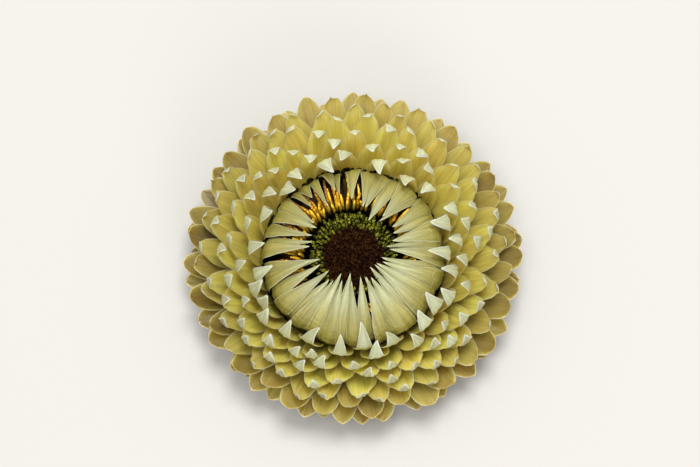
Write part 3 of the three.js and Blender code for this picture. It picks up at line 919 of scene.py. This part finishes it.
# %% Shape the inner bracts
INNER_BRACTS = 40
INNER_WIDTH = 3.8
INNER_PATH = [(10.4, 8.2), (14.5, 8.8), (16.1, 11.8), (15.2, 15.2)]
NEAR_TIP = (5.2, 18.1)
SIDE_TIP = (7.0, 18.0)
OPEN_TIP = (11.0, 17.1)
SIDE_SHARE = 0.22  # openness at the sides, from 0 at the near side to 1 in the opening
OPEN_STEPS = 8
OPENING = {  # directions and angles from the middle of the opening, in radians
    "Open steps": OPEN_STEPS, "Open direction": 2.0, "Open within": 0.22, "Open until": 0.75,
    "Side share": SIDE_SHARE, "Side from": 1.5, "Near from": 2.4,
}
BACK_ROW = (0.4, 0.3)  # every other bract lies this much further in and down
INNER_HABIT_FACTS = ("reach", "swing", "keel", "cup", "roll", "wide", "raised")
INNER_HABITS = [dict(zip(INNER_HABIT_FACTS, habit)) for habit in (
    (-1.2, 0.35, 0.10, 0.08, 0.14, 1.05, 0.0),
    (0.4, -0.5, 0.06, 0.14, -0.16, 0.9, -0.1),
    (1.2, 0.2, 0.13, 0.05, 0.05, 1.42, 0.24),
    (-0.3, -0.2, 0.03, 0.16, 0.0, 0.98, 0.06),
    (0.0, 0.55, 0.12, 0.02, 0.2, 0.96, 0.12),
    (0.8, -0.3, 0.08, 0.10, -0.1, 1.12, -0.15),
)]
INNER_STATIONS = [0.0, 0.14, 0.27, 0.38, 0.47, 0.55, 0.62, 0.69, 0.76, 0.83, 0.89, 0.95]
FINE_RIPPLE = 0.05
BROAD_RIPPLE = 0.09


def inner_bract(name, opened, back, habit):
    inwards, down = BACK_ROW if back else (0, 0)
    if opened < SIDE_SHARE:
        tip = mix_pair(NEAR_TIP, SIDE_TIP, opened / SIDE_SHARE)
    else:
        tip = mix_pair(SIDE_TIP, OPEN_TIP, (opened - SIDE_SHARE) / (1 - SIDE_SHARE))
    path = [(r - inwards, z - down) for r, z in INNER_PATH]
    end = (tip[0] + habit["reach"] * mix(0.6, 1.2, opened) - inwards, tip[1])
    full, at = walk(through([*path, end]))
    crease, _ = walk(through(path[:3]))
    narrowed = mix(1, 0.6 if back else 0.84, min(opened / 0.8, 1))
    half = INNER_WIDTH / 2 * habit["wide"] * narrowed

    def half_width(along):
        share = along / full
        lance = min(1.0, (1 - share) / mix(0.38, 0.52, opened)) ** 0.88
        waist = mix(1, mix(0.76, 1, opened), smoothstep(share, 0.45, 0.75))
        return half * mix(0.5, 1.0, smoothstep(share, 0, 0.36)) * lance * waist

    def surface(along, x, v):
        side = along / full
        lift = half * (habit["cup"] * v * v + habit["keel"] * abs(v)) + x * math.tan(habit["roll"])
        fine = FINE_RIPPLE * math.sin(9 * v + 5 * habit["swing"])
        lift += fine + habit["raised"] * smoothstep(side, 0.3, 0.5)
        lift += BROAD_RIPPLE * abs(v) * math.sin(2.2 * along + 4 * v + 9 * habit["swing"])
        r, z, slope = at(along)
        x += habit["swing"] * smoothstep(side, 0.3, 1.0)
        return (r - lift * math.sin(slope), x, z + lift * math.cos(slope))

    rows = [share * full for share in INNER_STATIONS]
    return blade_mesh(name, [*rows, full], BRACT_COLUMNS, half_width, surface, fold=crease)


inner_shapes = [
    inner_bract("inner", step / (OPEN_STEPS - 1), back, habit)
    for step in range(OPEN_STEPS)
    for back in (False, True)
    for habit in INNER_HABITS
]
print(len(inner_shapes), "shapes of inner bracts")

# %% [markdown]
# Cream backs
#
# The backs of the inner bracts are the same dry, glossy scale in cream, a little yellow in the
# middle and dark moss green towards the crease, partly by their own colour and partly by painted
# shade. Where they dive into the crease, painted shade makes them nearly black. A faint pink flush
# runs along a few. Cross wrinkles are deepest where the bract bends out of the crease. Painted
# shade darkens the curl just inside the margin, and the margin carries a painted highlight.

# %% The inner bract's material
WRINKLE_WIDTH = 1.4  # mm
WRINKLE_LENGTH = 0.5
WRINKLE_SHIFT = 70.0
WRINKLE_DETAIL = 2.0


def papery_cream():
    material, tree = new_material("papery_cream_bract")
    blade = add(tree, "ShaderNodeAttribute", attribute_name="blade").outputs["Vector"]
    parts = add(tree, "ShaderNodeSeparateXYZ", (blade,)).outputs
    tone = add(tree, "ShaderNodeAttribute", attribute_name="tone").outputs["Fac"]
    # dark moss green at the root, partly the bract's own colour and partly painted shade of the crease
    along = add(tree, "ShaderNodeMapRange", (parts["Y"], -1 * MM, 12 * MM))
    face = add(tree, "ShaderNodeValToRGB", (along,), stops=(
        (0.0, "#44451a"), (0.13, "#7b7431"), (0.34, "#898138"), (0.58, "#958e4f"), (0.9, "#a8aa82"),
    ))
    veins = draw_veins(tree, parts, tone)
    flush = add(tree, "ShaderNodeMapRange", (veins, 0.6, 0.74, 0.0, 0.35))
    flushed = add(tree, "ShaderNodeMix", (flush, face, "#b9876a"), data_type="RGBA")
    veined = add(tree, "ShaderNodeMapRange", (veins, 0.32, 0.7, 0.68, 1.14))
    differs = add(tree, "ShaderNodeMath", (tone, 0.08, 0.94), operation="MULTIPLY_ADD")
    shade = add(tree, "ShaderNodeMath", (differs, veined), operation="MULTIPLY")
    lit = add(tree, "ShaderNodeHueSaturation", {"Color": flushed, "Value": shade})
    # painted shade of the curl just inside the margin
    painted_curl_shade_mask = add(tree, "ShaderNodeMapRange", (parts["Z"], 0.16 * MM, 0.6 * MM, 0.34, 0.0))
    painted_curl_shaded = add(tree, "ShaderNodeMix", (painted_curl_shade_mask, lit, "#6a6426"), data_type="RGBA")
    # painted highlight on the thin margin
    margin = add(tree, "ShaderNodeMapRange", (parts["Z"], 0.04 * MM, 0.22 * MM, 0.45, 0.0))
    painted_rim_lit = add(tree, "ShaderNodeMix", (margin, painted_curl_shaded, "#c8c8a2"), data_type="RGBA")
    # painted shade: nearly black where the bract dives into the crease
    painted_crease_shade_mask = add(tree, "ShaderNodeMapRange", (parts["Y"], -0.8 * MM, 0.7 * MM))
    shaded = add(tree, "ShaderNodeMix", (painted_crease_shade_mask, "#0e1004", painted_rim_lit), data_type="RGBA")
    wrinkle = (WRINKLE_WIDTH, WRINKLE_LENGTH, WRINKLE_SHIFT, WRINKLE_DETAIL)
    wrinkles = drawn_out(tree, parts, tone, *wrinkle)
    depth = add(tree, "ShaderNodeMapRange", (parts["Y"], 1 * MM, 6 * MM, 0.5 * MM, 0.1 * MM))
    folded = add(tree, "ShaderNodeMath", (wrinkles, depth), operation="MULTIPLY")
    height = add(tree, "ShaderNodeMath", (veins, 0.12 * MM, folded), operation="MULTIPLY_ADD")
    bump = add(tree, "ShaderNodeBump", {"Height": height, "Strength": 0.8, "Distance": 1.0})
    gloss = add(tree, "ShaderNodeMapRange", (parts["Y"], 0.0, 2 * MM, 0.05, 0.5))
    shader = add(tree, "ShaderNodeBsdfPrincipled", {
        "Base Color": shaded, "Roughness": 0.45, "IOR": 1.5, "Normal": bump,
        "Specular IOR Level": gloss, "Subsurface Weight": 0.2,
        "Subsurface Radius": (1.0, 0.8, 0.4), "Subsurface Scale": 0.8 * MM,
    })
    add(tree, "ShaderNodeOutputMaterial", (shader,))
    return material


# %% [markdown]
# The dome in place
#
# Forty bracts in two rows close the dome. It stands open towards the upper side, and at the sides
# it is a little looser than on the near side.

# %% Grow the dome
dome = grow("inner_bract_dome", ring, inner_shapes, {
    "Count": INNER_BRACTS, "Rows": 2, "Habits": len(INNER_HABITS), **OPENING,
    "Angle varies": 0.3, "Swing varies": 0.042, "Size varies": 0.12,
    "Root": Vector((10.4, 0, 8.2)) * MM, "Seed": 8,
}, papery_cream())
finish_piece(dome, "pale_bract", "inner_bracts")

# %% [markdown]
# Dark scales in the crease, as painted shade
#
# Between the dome and the yellow bracts runs a thin dark line, where shade lies in the crease.
# A ring of small, nearly black scales stands there as painted shade. They stand upright in the
# crease, thin, ragged and close together. Dull moss green shows in patches.

# %% Shape and grow the dark scales of the crease's painted shade
CREASE_SCALES = 96
CREASE_FOOT = (15.7, 9.0)
CREASE_LEAN = 16.35  # the radius at their tops
CREASE_TOPS = [13.1, 13.8, 13.4, 12.8, 14.1]
CREASE_WIDTH = 1.6


def crease_scale(top):
    def half_width(along):
        return CREASE_WIDTH / 2 * max(1 - along**3, 0.05)

    def surface(along, x, v):
        r = mix(CREASE_FOOT[0], CREASE_LEAN, math.sin(along * math.pi / 2)) + 0.15 * v * v
        return (r, x + 0.3 * along**2 * math.sin(9 * top), mix(CREASE_FOOT[1], top, along))

    return blade_mesh("scale", [0.0, 0.3, 0.6, 0.85, 1.0], 3, half_width, surface, fold=0)


def crease_shade_material():
    material, tree = new_material("painted_crease_shade_scale")
    place = add(tree, "ShaderNodeTexCoord").outputs["Object"]
    grain = add(tree, "ShaderNodeTexNoise", (place, 1 / (1.2 * MM), 2.0))
    patches = add(tree, "ShaderNodeMapRange", (grain, 0.4, 0.62))
    # painted shade: nearly black, with dull moss green in patches
    colour = add(tree, "ShaderNodeMix", (patches, "#080a03", "#4c4a16"), data_type="RGBA")
    looks = {"Base Color": colour, "Roughness": 0.8, "Specular IOR Level": 0.1}
    add(tree, "ShaderNodeOutputMaterial", (add(tree, "ShaderNodeBsdfPrincipled", looks),))
    return material


crease = grow("withered_scale_ring", ring, [crease_scale(top) for top in CREASE_TOPS], {
    "Count": CREASE_SCALES, "Rows": 1, "Habits": len(CREASE_TOPS), **SAME_ALL_ROUND,
    "Angle varies": 0.6, "Swing varies": 0.03, "Size varies": 0.3,
    "Root": Vector((CREASE_FOOT[0], 0, CREASE_FOOT[1])) * MM, "Seed": 21,
}, crease_shade_material())
finish_piece(crease, "pale_bract")

# %% [markdown]
# Small tubes
#
# Florets and bristles are small tubes. A helper sweeps a ring of a few points along a short line
# and closes both ends, so that hundreds of copies stay light. Each point keeps how far along its
# tube it lies, because a floret changes colour from root to mouth.

# %% Sweep small tubes
def tubes_mesh(tubes):
    """One mesh of closed tubes. Each tube is a line of points, their radii, and its sides."""
    points = []
    faces = []
    along = []
    for line, radii, sides in tubes:
        line = [Vector(p) for p in line]
        start = len(points)
        for n, (centre, radius) in enumerate(zip(line, radii)):
            ahead = line[min(n + 1, len(line) - 1)] - line[max(n - 1, 0)]
            turn = ahead.to_track_quat("Z", "X")
            for k in range(sides):
                a = 2 * math.pi * k / sides
                points.append(centre + turn @ Vector((math.cos(a), math.sin(a), 0)) * radius)
                along.append(n / (len(line) - 1))
        bottom, top = len(points), len(points) + 1
        points += [line[0], line[-1]]
        along += [0.0, 1.0]
        last = start + (len(line) - 1) * sides
        for k in range(sides):
            after = (k + 1) % sides
            faces.append((bottom, start + after, start + k))
            for a in range(start, last, sides):
                faces.append((a + k, a + after, a + sides + after, a + sides + k))
            faces.append((top, last + k, last + after))
    mesh = bpy.data.meshes.new("tubes")
    mesh.from_pydata([p * MM for p in points], [], faces)
    mesh.shade_smooth()
    share = mesh.attributes.new("along", "FLOAT", "POINT")
    for n, value in enumerate(along):
        share.data[n].value = value
    return mesh


# %% [markdown]
# Rim florets
#
# The rim of the disc carries slender tubular florets in a tuft of nearly black bristles. They show
# where the dome stands open and in the slits between inner bracts.

# %% Shape the rim florets and bristles
RIM_FLORETS = 176
RIM_ROOT = (8.6, 11.0)
RIM_MOUTHS = [(9.7, 15.7), (11.1, 15.8), (12.9, 15.3), (14.8, 14.4)]
RIM_RADII = [0.16, 0.22, 0.27, 0.26, 0.14]
RIM_BOWS = (-0.3, 0.0, 0.35)
BRISTLE_TUFTS = 200
BRISTLE_RADII = [0.07, 0.05, 0.02]
BRISTLE_REACHES = (-0.2, 0.5)  # how far beyond the florets' mouths the tufts of each row reach
BRISTLES = 6


def rim_floret(mouth, bow):
    line = []
    for n in range(len(RIM_RADII)):
        u = n / (len(RIM_RADII) - 1)
        r, z = mix_pair(RIM_ROOT, mouth, u)
        line.append((r, bow * math.sin(math.pi * u), z + 0.9 * u * (1 - u) * (mouth[0] - RIM_ROOT[0])))
    return tubes_mesh([(line, RIM_RADII, 6)])


def bristle_tuft(mouth):
    tubes = []
    for n in range(BRISTLES):
        fan = n - (BRISTLES - 1) / 2
        start = Vector((RIM_ROOT[0] + 0.1 * fan, 0.12 * fan, RIM_ROOT[1] - 1))
        r1, z1 = mouth[0] + 0.35 * math.sin(3.1 * n), mouth[1] + 0.3 * math.cos(2.3 * n)
        end = Vector((r1, 0.22 * fan, z1))
        middle = (start + end) / 2 + Vector((0.2 * math.cos(5 * n), 0, 0.35))
        tubes.append(([start, middle, end], BRISTLE_RADII, 3))
    return tubes_mesh(tubes)


rim_shapes = [rim_floret(mouth, bow) for mouth in RIM_MOUTHS for bow in RIM_BOWS]
tuft_shapes = [bristle_tuft((r + reach, z - 1.0)) for r, z in RIM_MOUTHS for reach in BRISTLE_REACHES]
print(len(rim_shapes), "shapes of rim florets,", len(tuft_shapes), "tufts of bristles")

# %% [markdown]
# Egg yellow and scorched brown
#
# Dried florets keep their wax. At the root they are painted nearly black, as painted shade where no
# light reaches, and above it they are a deep egg yellow. Towards the mouth and towards the outside
# they have withered to a mottled brown. The bristles are matt and almost black.

# %% The rim florets' materials
def floret_yellow():
    material, tree = new_material("egg_yellow_floret")
    along, tone = [
        add(tree, "ShaderNodeAttribute", attribute_name=name).outputs["Fac"] for name in ("along", "tone")
    ]
    place = add(tree, "ShaderNodeTexCoord").outputs["Object"]
    from_axis = add(tree, "ShaderNodeVectorMath", (place, AXIS), operation="SUBTRACT")
    flat = add(tree, "ShaderNodeVectorMath", (from_axis, (1, 1, 0)), operation="MULTIPLY")
    distance = add(tree, "ShaderNodeVectorMath", (flat,), operation="LENGTH")
    outwards = add(tree, "ShaderNodeMapRange", (distance, 9.6 * MM, 15 * MM, 0.0, 0.5))
    mottle = add(tree, "ShaderNodeTexNoise", (place, 1 / (0.45 * MM), 2.0))
    patches = add(tree, "ShaderNodeMapRange", (mottle, 0.35, 0.65, -0.2, 0.26))
    withered = add(tree, "ShaderNodeMath", (tone, 0.22, patches), operation="MULTIPLY_ADD")
    scorched = add(tree, "ShaderNodeMath", (along, 0.16, withered), operation="MULTIPLY_ADD")
    spread = add(tree, "ShaderNodeMath", (scorched, outwards), operation="ADD")
    colour = add(tree, "ShaderNodeValToRGB", (spread,), stops=(
        (0.0, "#ffdc3c"), (0.24, "#f6c020"), (0.44, "#b07810"), (0.66, "#6a4210"), (0.95, "#28160a"),
    ))
    # painted shade: nearly black below the height where the florets rise into the light
    height = add(tree, "ShaderNodeSeparateXYZ", (place,)).outputs["Z"]
    painted_shade_fade = add(tree, "ShaderNodeMapRange", (height, 12.4 * MM, 13.8 * MM))
    painted_root_shade = add(tree, "ShaderNodeMix", (painted_shade_fade, "#080402", colour), data_type="RGBA")
    looks = {"Base Color": painted_root_shade, "Roughness": 0.45}
    add(tree, "ShaderNodeOutputMaterial", (add(tree, "ShaderNodeBsdfPrincipled", looks),))
    return material


def bristle_black():
    material, tree = new_material("dark_bristle")
    place = add(tree, "ShaderNodeTexCoord").outputs["Object"]
    grain = add(tree, "ShaderNodeTexNoise", (place, 1 / (0.8 * MM)))
    colour = add(tree, "ShaderNodeMix", (grain, "#1a0f07", "#5c3a16"), data_type="RGBA")
    looks = {"Base Color": colour, "Roughness": 0.8}
    add(tree, "ShaderNodeOutputMaterial", (add(tree, "ShaderNodeBsdfPrincipled", looks),))
    return material


# %% [markdown]
# The rim in place
#
# Florets and tufts stand as thick as on a real head, far more than meet the eye, so that wherever
# the dome opens one looks into them and not through them.

# %% Grow the rim florets and bristles
on_rim = {"Rows": len(RIM_MOUTHS), "Root": Vector((RIM_ROOT[0], 0, RIM_ROOT[1])) * MM, **SAME_ALL_ROUND}
rim = grow("rim_floret_ring", ring, rim_shapes, {
    "Count": RIM_FLORETS, "Habits": len(RIM_BOWS), **on_rim,
    "Angle varies": 0.9, "Swing varies": 0.12, "Size varies": 0.2, "Seed": 5,
}, floret_yellow())
finish_piece(rim, "rim_floret", "rim_florets")
tufts = grow("rim_bristles", ring, tuft_shapes, {
    "Count": BRISTLE_TUFTS, "Habits": len(BRISTLE_REACHES), **on_rim,
    "Angle varies": 0.9, "Swing varies": 0.2, "Size varies": 0.3, "Seed": 9,
}, bristle_black())
finish_piece(tufts, "rim_floret")

# %% [markdown]
# The disc rule
#
# The disc's florets stand in a sunflower spiral, which packs them evenly on the domed top: the
# golden angle between one and the next, and a radius that grows with the square root of the
# number. One tree plants them, and keeps those inside or outside a round patch that lies a
# little off the centre, so the same rule gives the green ones and the faded brown ones.

# %% Build the disc tree
DISC_RADIUS = 7.4
DISC_APEX = 17.0
DISC_RIM = 15.5
BROWN_RADIUS = 5.1
BROWN_CENTRE = (0.0, -0.9)
FLORET_SPACING = 0.62
FLORETS = int(math.pi * ((DISC_RADIUS - 0.25) / FLORET_SPACING) ** 2)


def disc_tree():
    tree = new_tree(
        "florets_of_the_disc",
        Collection="Shapes",
        Int="Habits, Florets, Seed",
        Float="Spacing, Golden angle, Disc radius, Apex, Rim, Patch radius, Lean, Place varies, Size varies",
        Vector="Patch centre, Axis",
        Bool="Inside",
        Material="Material",
    )
    given = add(tree, "NodeGroupInput").outputs
    number, draws, habit = numbered(tree, given)
    draw = add(tree, "ShaderNodeSeparateXYZ", (draws,)).outputs
    # the place in the spiral, seen from above
    middle = add(tree, "ShaderNodeMath", (number, 0.5), operation="ADD")
    share = add(tree, "ShaderNodeMath", (middle, math.pi), operation="DIVIDE")
    root = add(tree, "ShaderNodeMath", (share,), operation="SQRT")
    radius = add(tree, "ShaderNodeMath", (root, given["Spacing"]), operation="MULTIPLY")
    angle = add(tree, "ShaderNodeMath", (number, given["Golden angle"]), operation="MULTIPLY")
    waves = [add(tree, "ShaderNodeMath", (angle,), operation=wave) for wave in ("COSINE", "SINE")]
    sides = [add(tree, "ShaderNodeMath", (wave, radius), operation="MULTIPLY") for wave in waves]
    flat = add(tree, "ShaderNodeCombineXYZ", sides)
    # the height on the domed top
    part = add(tree, "ShaderNodeMath", (radius, given["Disc radius"]), operation="DIVIDE")
    fall = add(tree, "ShaderNodeMath", (part, 2.0), operation="POWER")
    height = add(tree, "ShaderNodeMapRange", (fall, 0.0, 1.0, given["Apex"], given["Rim"]), clamp=False)
    up = add(tree, "ShaderNodeCombineXYZ", {"Z": height})
    strays = add(tree, "ShaderNodeVectorMath", (draws, given["Place varies"]), operation="SCALE")
    raised = add(tree, "ShaderNodeVectorMath", (flat, up), operation="ADD")
    place = add(tree, "ShaderNodeVectorMath", (raised, strays), operation="ADD")
    on_axis = add(tree, "ShaderNodeVectorMath", (place, given["Axis"]), operation="ADD")
    # inside or outside the patch
    off = add(tree, "ShaderNodeVectorMath", (flat, given["Patch centre"]), operation="DISTANCE")
    pair = (off, given["Patch radius"])
    within = add(tree, "FunctionNodeCompare", pair, data_type="FLOAT", operation="LESS_THAN")
    kept = add(tree, "FunctionNodeBooleanMath", (within, given["Inside"]), operation="XNOR")
    # leaning outwards and twisted
    outwards = add(tree, "ShaderNodeVectorMath", (flat, given["Lean"]), operation="SCALE")
    leant = add(tree, "ShaderNodeVectorMath", (outwards, (0, 0, 1)), operation="ADD")
    aimed = add(tree, "FunctionNodeAlignRotationToVector", {"Vector": leant}, axis="Z")
    twist = add(tree, "ShaderNodeMath", (draw["X"], math.pi), operation="MULTIPLY")
    both = (aimed, about_upright(tree, twist))
    turned = add(tree, "FunctionNodeRotateRotation", both, rotation_space="LOCAL")
    size = add(tree, "ShaderNodeMath", (draw["Y"], given["Size varies"], 1.0), operation="MULTIPLY_ADD")
    scale = add(tree, "ShaderNodeCombineXYZ", (size, size, size))
    florets = put_shapes(tree, given, given["Florets"], on_axis, habit, turned, scale, kept)
    return end_tree(tree, given, florets, tone=draw["Z"])


disc = disc_tree()
print(FLORETS, "florets stand on the disc")

# %% [markdown]
# Green and brown florets
#
# Round the edge of the disc the florets are still closed green buds with five short lobes. In the
# middle they have withered to red-brown tufts of lobes and bristles. Both are tiny, so each shape
# has only a few dozen faces. Both are matt and lighter and mottled at the tips; they are dark at the
# foot, partly by their own colour and partly by painted shade of the gaps between them.

# %% Shape and grow the disc's florets
LOBES = 5
WITHERED_LOBES = 7


def bud(height, radius, spread):
    """A closed floret: a short tube and five lobes that lean together over its mouth."""
    line = [(0, 0, -0.5), (0, 0, 0.1), (0, 0, height * 0.6)]
    tubes = [(line, [radius * 0.7, radius, radius * 0.8], 5)]
    for k in range(LOBES):
        a = 2 * math.pi * k / LOBES
        c, s = math.cos(a), math.sin(a)
        foot = (radius * 0.62 * c, radius * 0.62 * s, height * 0.35)
        tubes.append(([foot, (spread * c, spread * s, height)], [radius * 0.36, radius * 0.14], 3))
    return tubes_mesh(tubes)


def withered(height, spread, turn):
    """A faded floret: curled lobes and bristles that stand out of a short tube."""
    tubes = [([(0, 0, -0.5), (0, 0, height * 0.45)], [0.2, 0.14], 4)]
    for k in range(WITHERED_LOBES):
        a = 2 * math.pi * k / WITHERED_LOBES + turn
        reach = spread * (0.6 + 0.4 * math.sin(2.6 * k + turn))
        tip = (reach * math.cos(a), reach * math.sin(a), height * (0.75 + 0.25 * math.cos(1.7 * k)))
        middle = (0.3 * tip[0], 0.3 * tip[1], height * 0.6)
        tubes.append(([(0, 0, 0.1), middle, tip], [0.07, 0.06, 0.025], 3))
    return tubes_mesh(tubes)


def matt_floret(name, colours, grain_size, roughness=0.75):
    material, tree = new_material(name)
    along, tone = [
        add(tree, "ShaderNodeAttribute", attribute_name=fact).outputs["Fac"] for fact in ("along", "tone")
    ]
    place = add(tree, "ShaderNodeTexCoord").outputs["Object"]
    grain = add(tree, "ShaderNodeTexNoise", (place, 1 / (grain_size * MM), 3.0))
    # dark at the foot: partly the florets' own colour and partly painted shade of the gaps between them
    rise = add(tree, "ShaderNodeMath", (along, 0.55, grain), operation="MULTIPLY_ADD")
    toned = add(tree, "ShaderNodeMath", (tone, 0.18, rise), operation="MULTIPLY_ADD")
    part = add(tree, "ShaderNodeMapRange", (toned, 0.45, 1.25))
    colour = add(tree, "ShaderNodeValToRGB", (part,), stops=list(zip((0.0, 0.55, 1.0), colours)))
    looks = {"Base Color": colour, "Roughness": roughness, "Specular IOR Level": 0.06}
    add(tree, "ShaderNodeOutputMaterial", (add(tree, "ShaderNodeBsdfPrincipled", looks),))
    return material


def plant(name, shapes, material, **values):
    """Grows florets on the disc. The values are named as the tree's inputs are, each in one word."""
    return grow(name, disc, shapes, {
        "Habits": len(shapes), "Florets": FLORETS, "Spacing": FLORET_SPACING * MM,
        "Golden angle": GOLDEN_ANGLE, "Disc radius": DISC_RADIUS * MM,
        "Apex": DISC_APEX * MM, "Rim": DISC_RIM * MM,
        "Patch centre": Vector((*BROWN_CENTRE, 0)) * MM, "Patch radius": BROWN_RADIUS * MM,
        "Place varies": 0.16 * MM, "Size varies": 0.25, **values,
    }, material)


buds = [bud(1.0, 0.30, 0.10), bud(0.75, 0.28, 0.24), bud(1.2, 0.26, 0.06)]
moss = matt_floret("moss_green_floret", ("#040501", "#36380b", "#98972f"), 0.6)
green = plant("green_floret_ring", buds, moss, Inside=False, Lean=90.0, Seed=11)
finish_piece(green, "green_floret", "green_florets")

faded = [withered(1.2, 0.7, 0.0), withered(1.0, 0.85, 1.1), withered(1.4, 0.55, 2.3)]
rust = matt_floret("red_brown_floret", ("#020100", "#2f1005", "#5c3c17"), 0.6)
brown = plant("brown_floret_patch", faded, rust, Inside=True, Lean=70.0, Seed=13)
finish_piece(brown, "brown_floret", "brown_florets")

# %% [markdown]
# The receptacle and the ground under the florets
#
# The fleshy disc and the cut stub of the stem below it grew as one piece. Between the florets one
# looks down on the domed top of the disc, and beside the florets on its shoulder, which the rim
# florets stand on; both are painted nearly black, as painted shade. The receptacle and the ground
# are bodies of revolution, so a profile is turned round the axis, and ribs are raised along the
# stem. Dry stem is matt straw, streaked with fine fibres.

# %% Turn the receptacle and the ground
STEM_PROFILE = [
    (0, 0.75), (0.5, 0.7), (1.25, 0.68), (1.5, 0.62), (1.66, 0.75), (1.6, 1.2), (1.58, 2.2),
    (2.1, 2.9), (5.0, 4.4), (8.6, 5.9), (9.0, 6.4), (9.0, 7.0), (8.7, 7.3), (0, 7.3),
]
STEM_RIBS = 10
RIB_DEPTH = 0.07
STEM_HEIGHT = 2.5  # the ribs end here
SHOULDER_PROFILE = [(0, 7.2), (8.6, 7.2), (9.6, 7.7), (9.7, 8.4), (8.9, 11.0), (8.0, 12.1), (7.4, 12.8)]
GROUND_DEPTH = 0.15  # how far the ground lies below the florets' feet


def turned_mesh(name, profile, sides, ribs=0):
    """A closed body turned about the head's axis from points of radius and height, in mm."""
    points = []
    for r, z in profile[1:-1]:
        for k in range(sides):
            a = 2 * math.pi * k / sides
            raised = r + (RIB_DEPTH * math.cos(ribs * a) if ribs and z < STEM_HEIGHT else 0.0)
            points.append(AXIS / MM + Vector((raised * math.cos(a), raised * math.sin(a), z)))
    bottom, top = len(points), len(points) + 1
    points += [AXIS / MM + Vector((0, 0, profile[0][1])), AXIS / MM + Vector((0, 0, profile[-1][1]))]
    last = bottom - sides
    faces = []
    for k in range(sides):
        after = (k + 1) % sides
        faces.append((bottom, after, k))
        for n in range(0, last, sides):
            faces.append((n + k, n + after, n + sides + after, n + sides + k))
        faces.append((top, last + k, last + after))
    mesh = bpy.data.meshes.new(name)
    mesh.from_pydata([p * MM for p in points], [], faces)
    mesh.shade_smooth()
    return mesh


def stand(name, profile, sides, material, **ribs):
    piece = bpy.data.objects.new(name, turned_mesh(name, profile, sides, **ribs))
    piece.data.materials.append(material)
    bpy.context.scene.collection.objects.link(piece)
    return piece


def dry_stem():
    material, tree = new_material("dry_stem")
    place = add(tree, "ShaderNodeTexCoord").outputs["Object"]
    drawn = {"Vector": place, "Scale": (1 / (0.3 * MM), 1 / (0.3 * MM), 1 / (3 * MM))}
    fibres = add(tree, "ShaderNodeTexNoise", (add(tree, "ShaderNodeMapping", drawn), 1.0, 3.0))
    colour = add(tree, "ShaderNodeMix", (fibres, "#4d431c", "#9a8a4c"), data_type="RGBA")
    height = add(tree, "ShaderNodeMath", (fibres, 0.15 * MM), operation="MULTIPLY")
    bump = add(tree, "ShaderNodeBump", {"Height": height, "Strength": 0.8, "Distance": 1.0})
    looks = {"Base Color": colour, "Roughness": 0.8, "Normal": bump}
    add(tree, "ShaderNodeOutputMaterial", (add(tree, "ShaderNodeBsdfPrincipled", looks),))
    return material


stem = stand("receptacle_with_stub", STEM_PROFILE, 60, dry_stem(), ribs=STEM_RIBS)
finish_piece(stem, "stem", "receptacle_and_stub")

dome_top = [
    (r, mix(DISC_APEX, DISC_RIM, (r / DISC_RADIUS) ** 2) - GROUND_DEPTH)
    for r in (7.0, 6.0, 5.0, 4.0, 3.0, 2.0, 1.0)
]
ground_profile = [*SHOULDER_PROFILE, (7.3, DISC_RIM - 0.4), *dome_top, (0, DISC_APEX - GROUND_DEPTH)]
# painted shade: the ground between and beside the florets is nearly black
painted_ground_shade = matt_floret("painted_shade_ground", ("#050301", "#0e0804", "#1c1206"), 0.3, 0.9)
ground = stand("disc_ground", ground_profile, 48, painted_ground_shade)
finish_piece(ground, "green_floret")
print("the ground's top stands", DISC_APEX - GROUND_DEPTH, "mm above the floor")
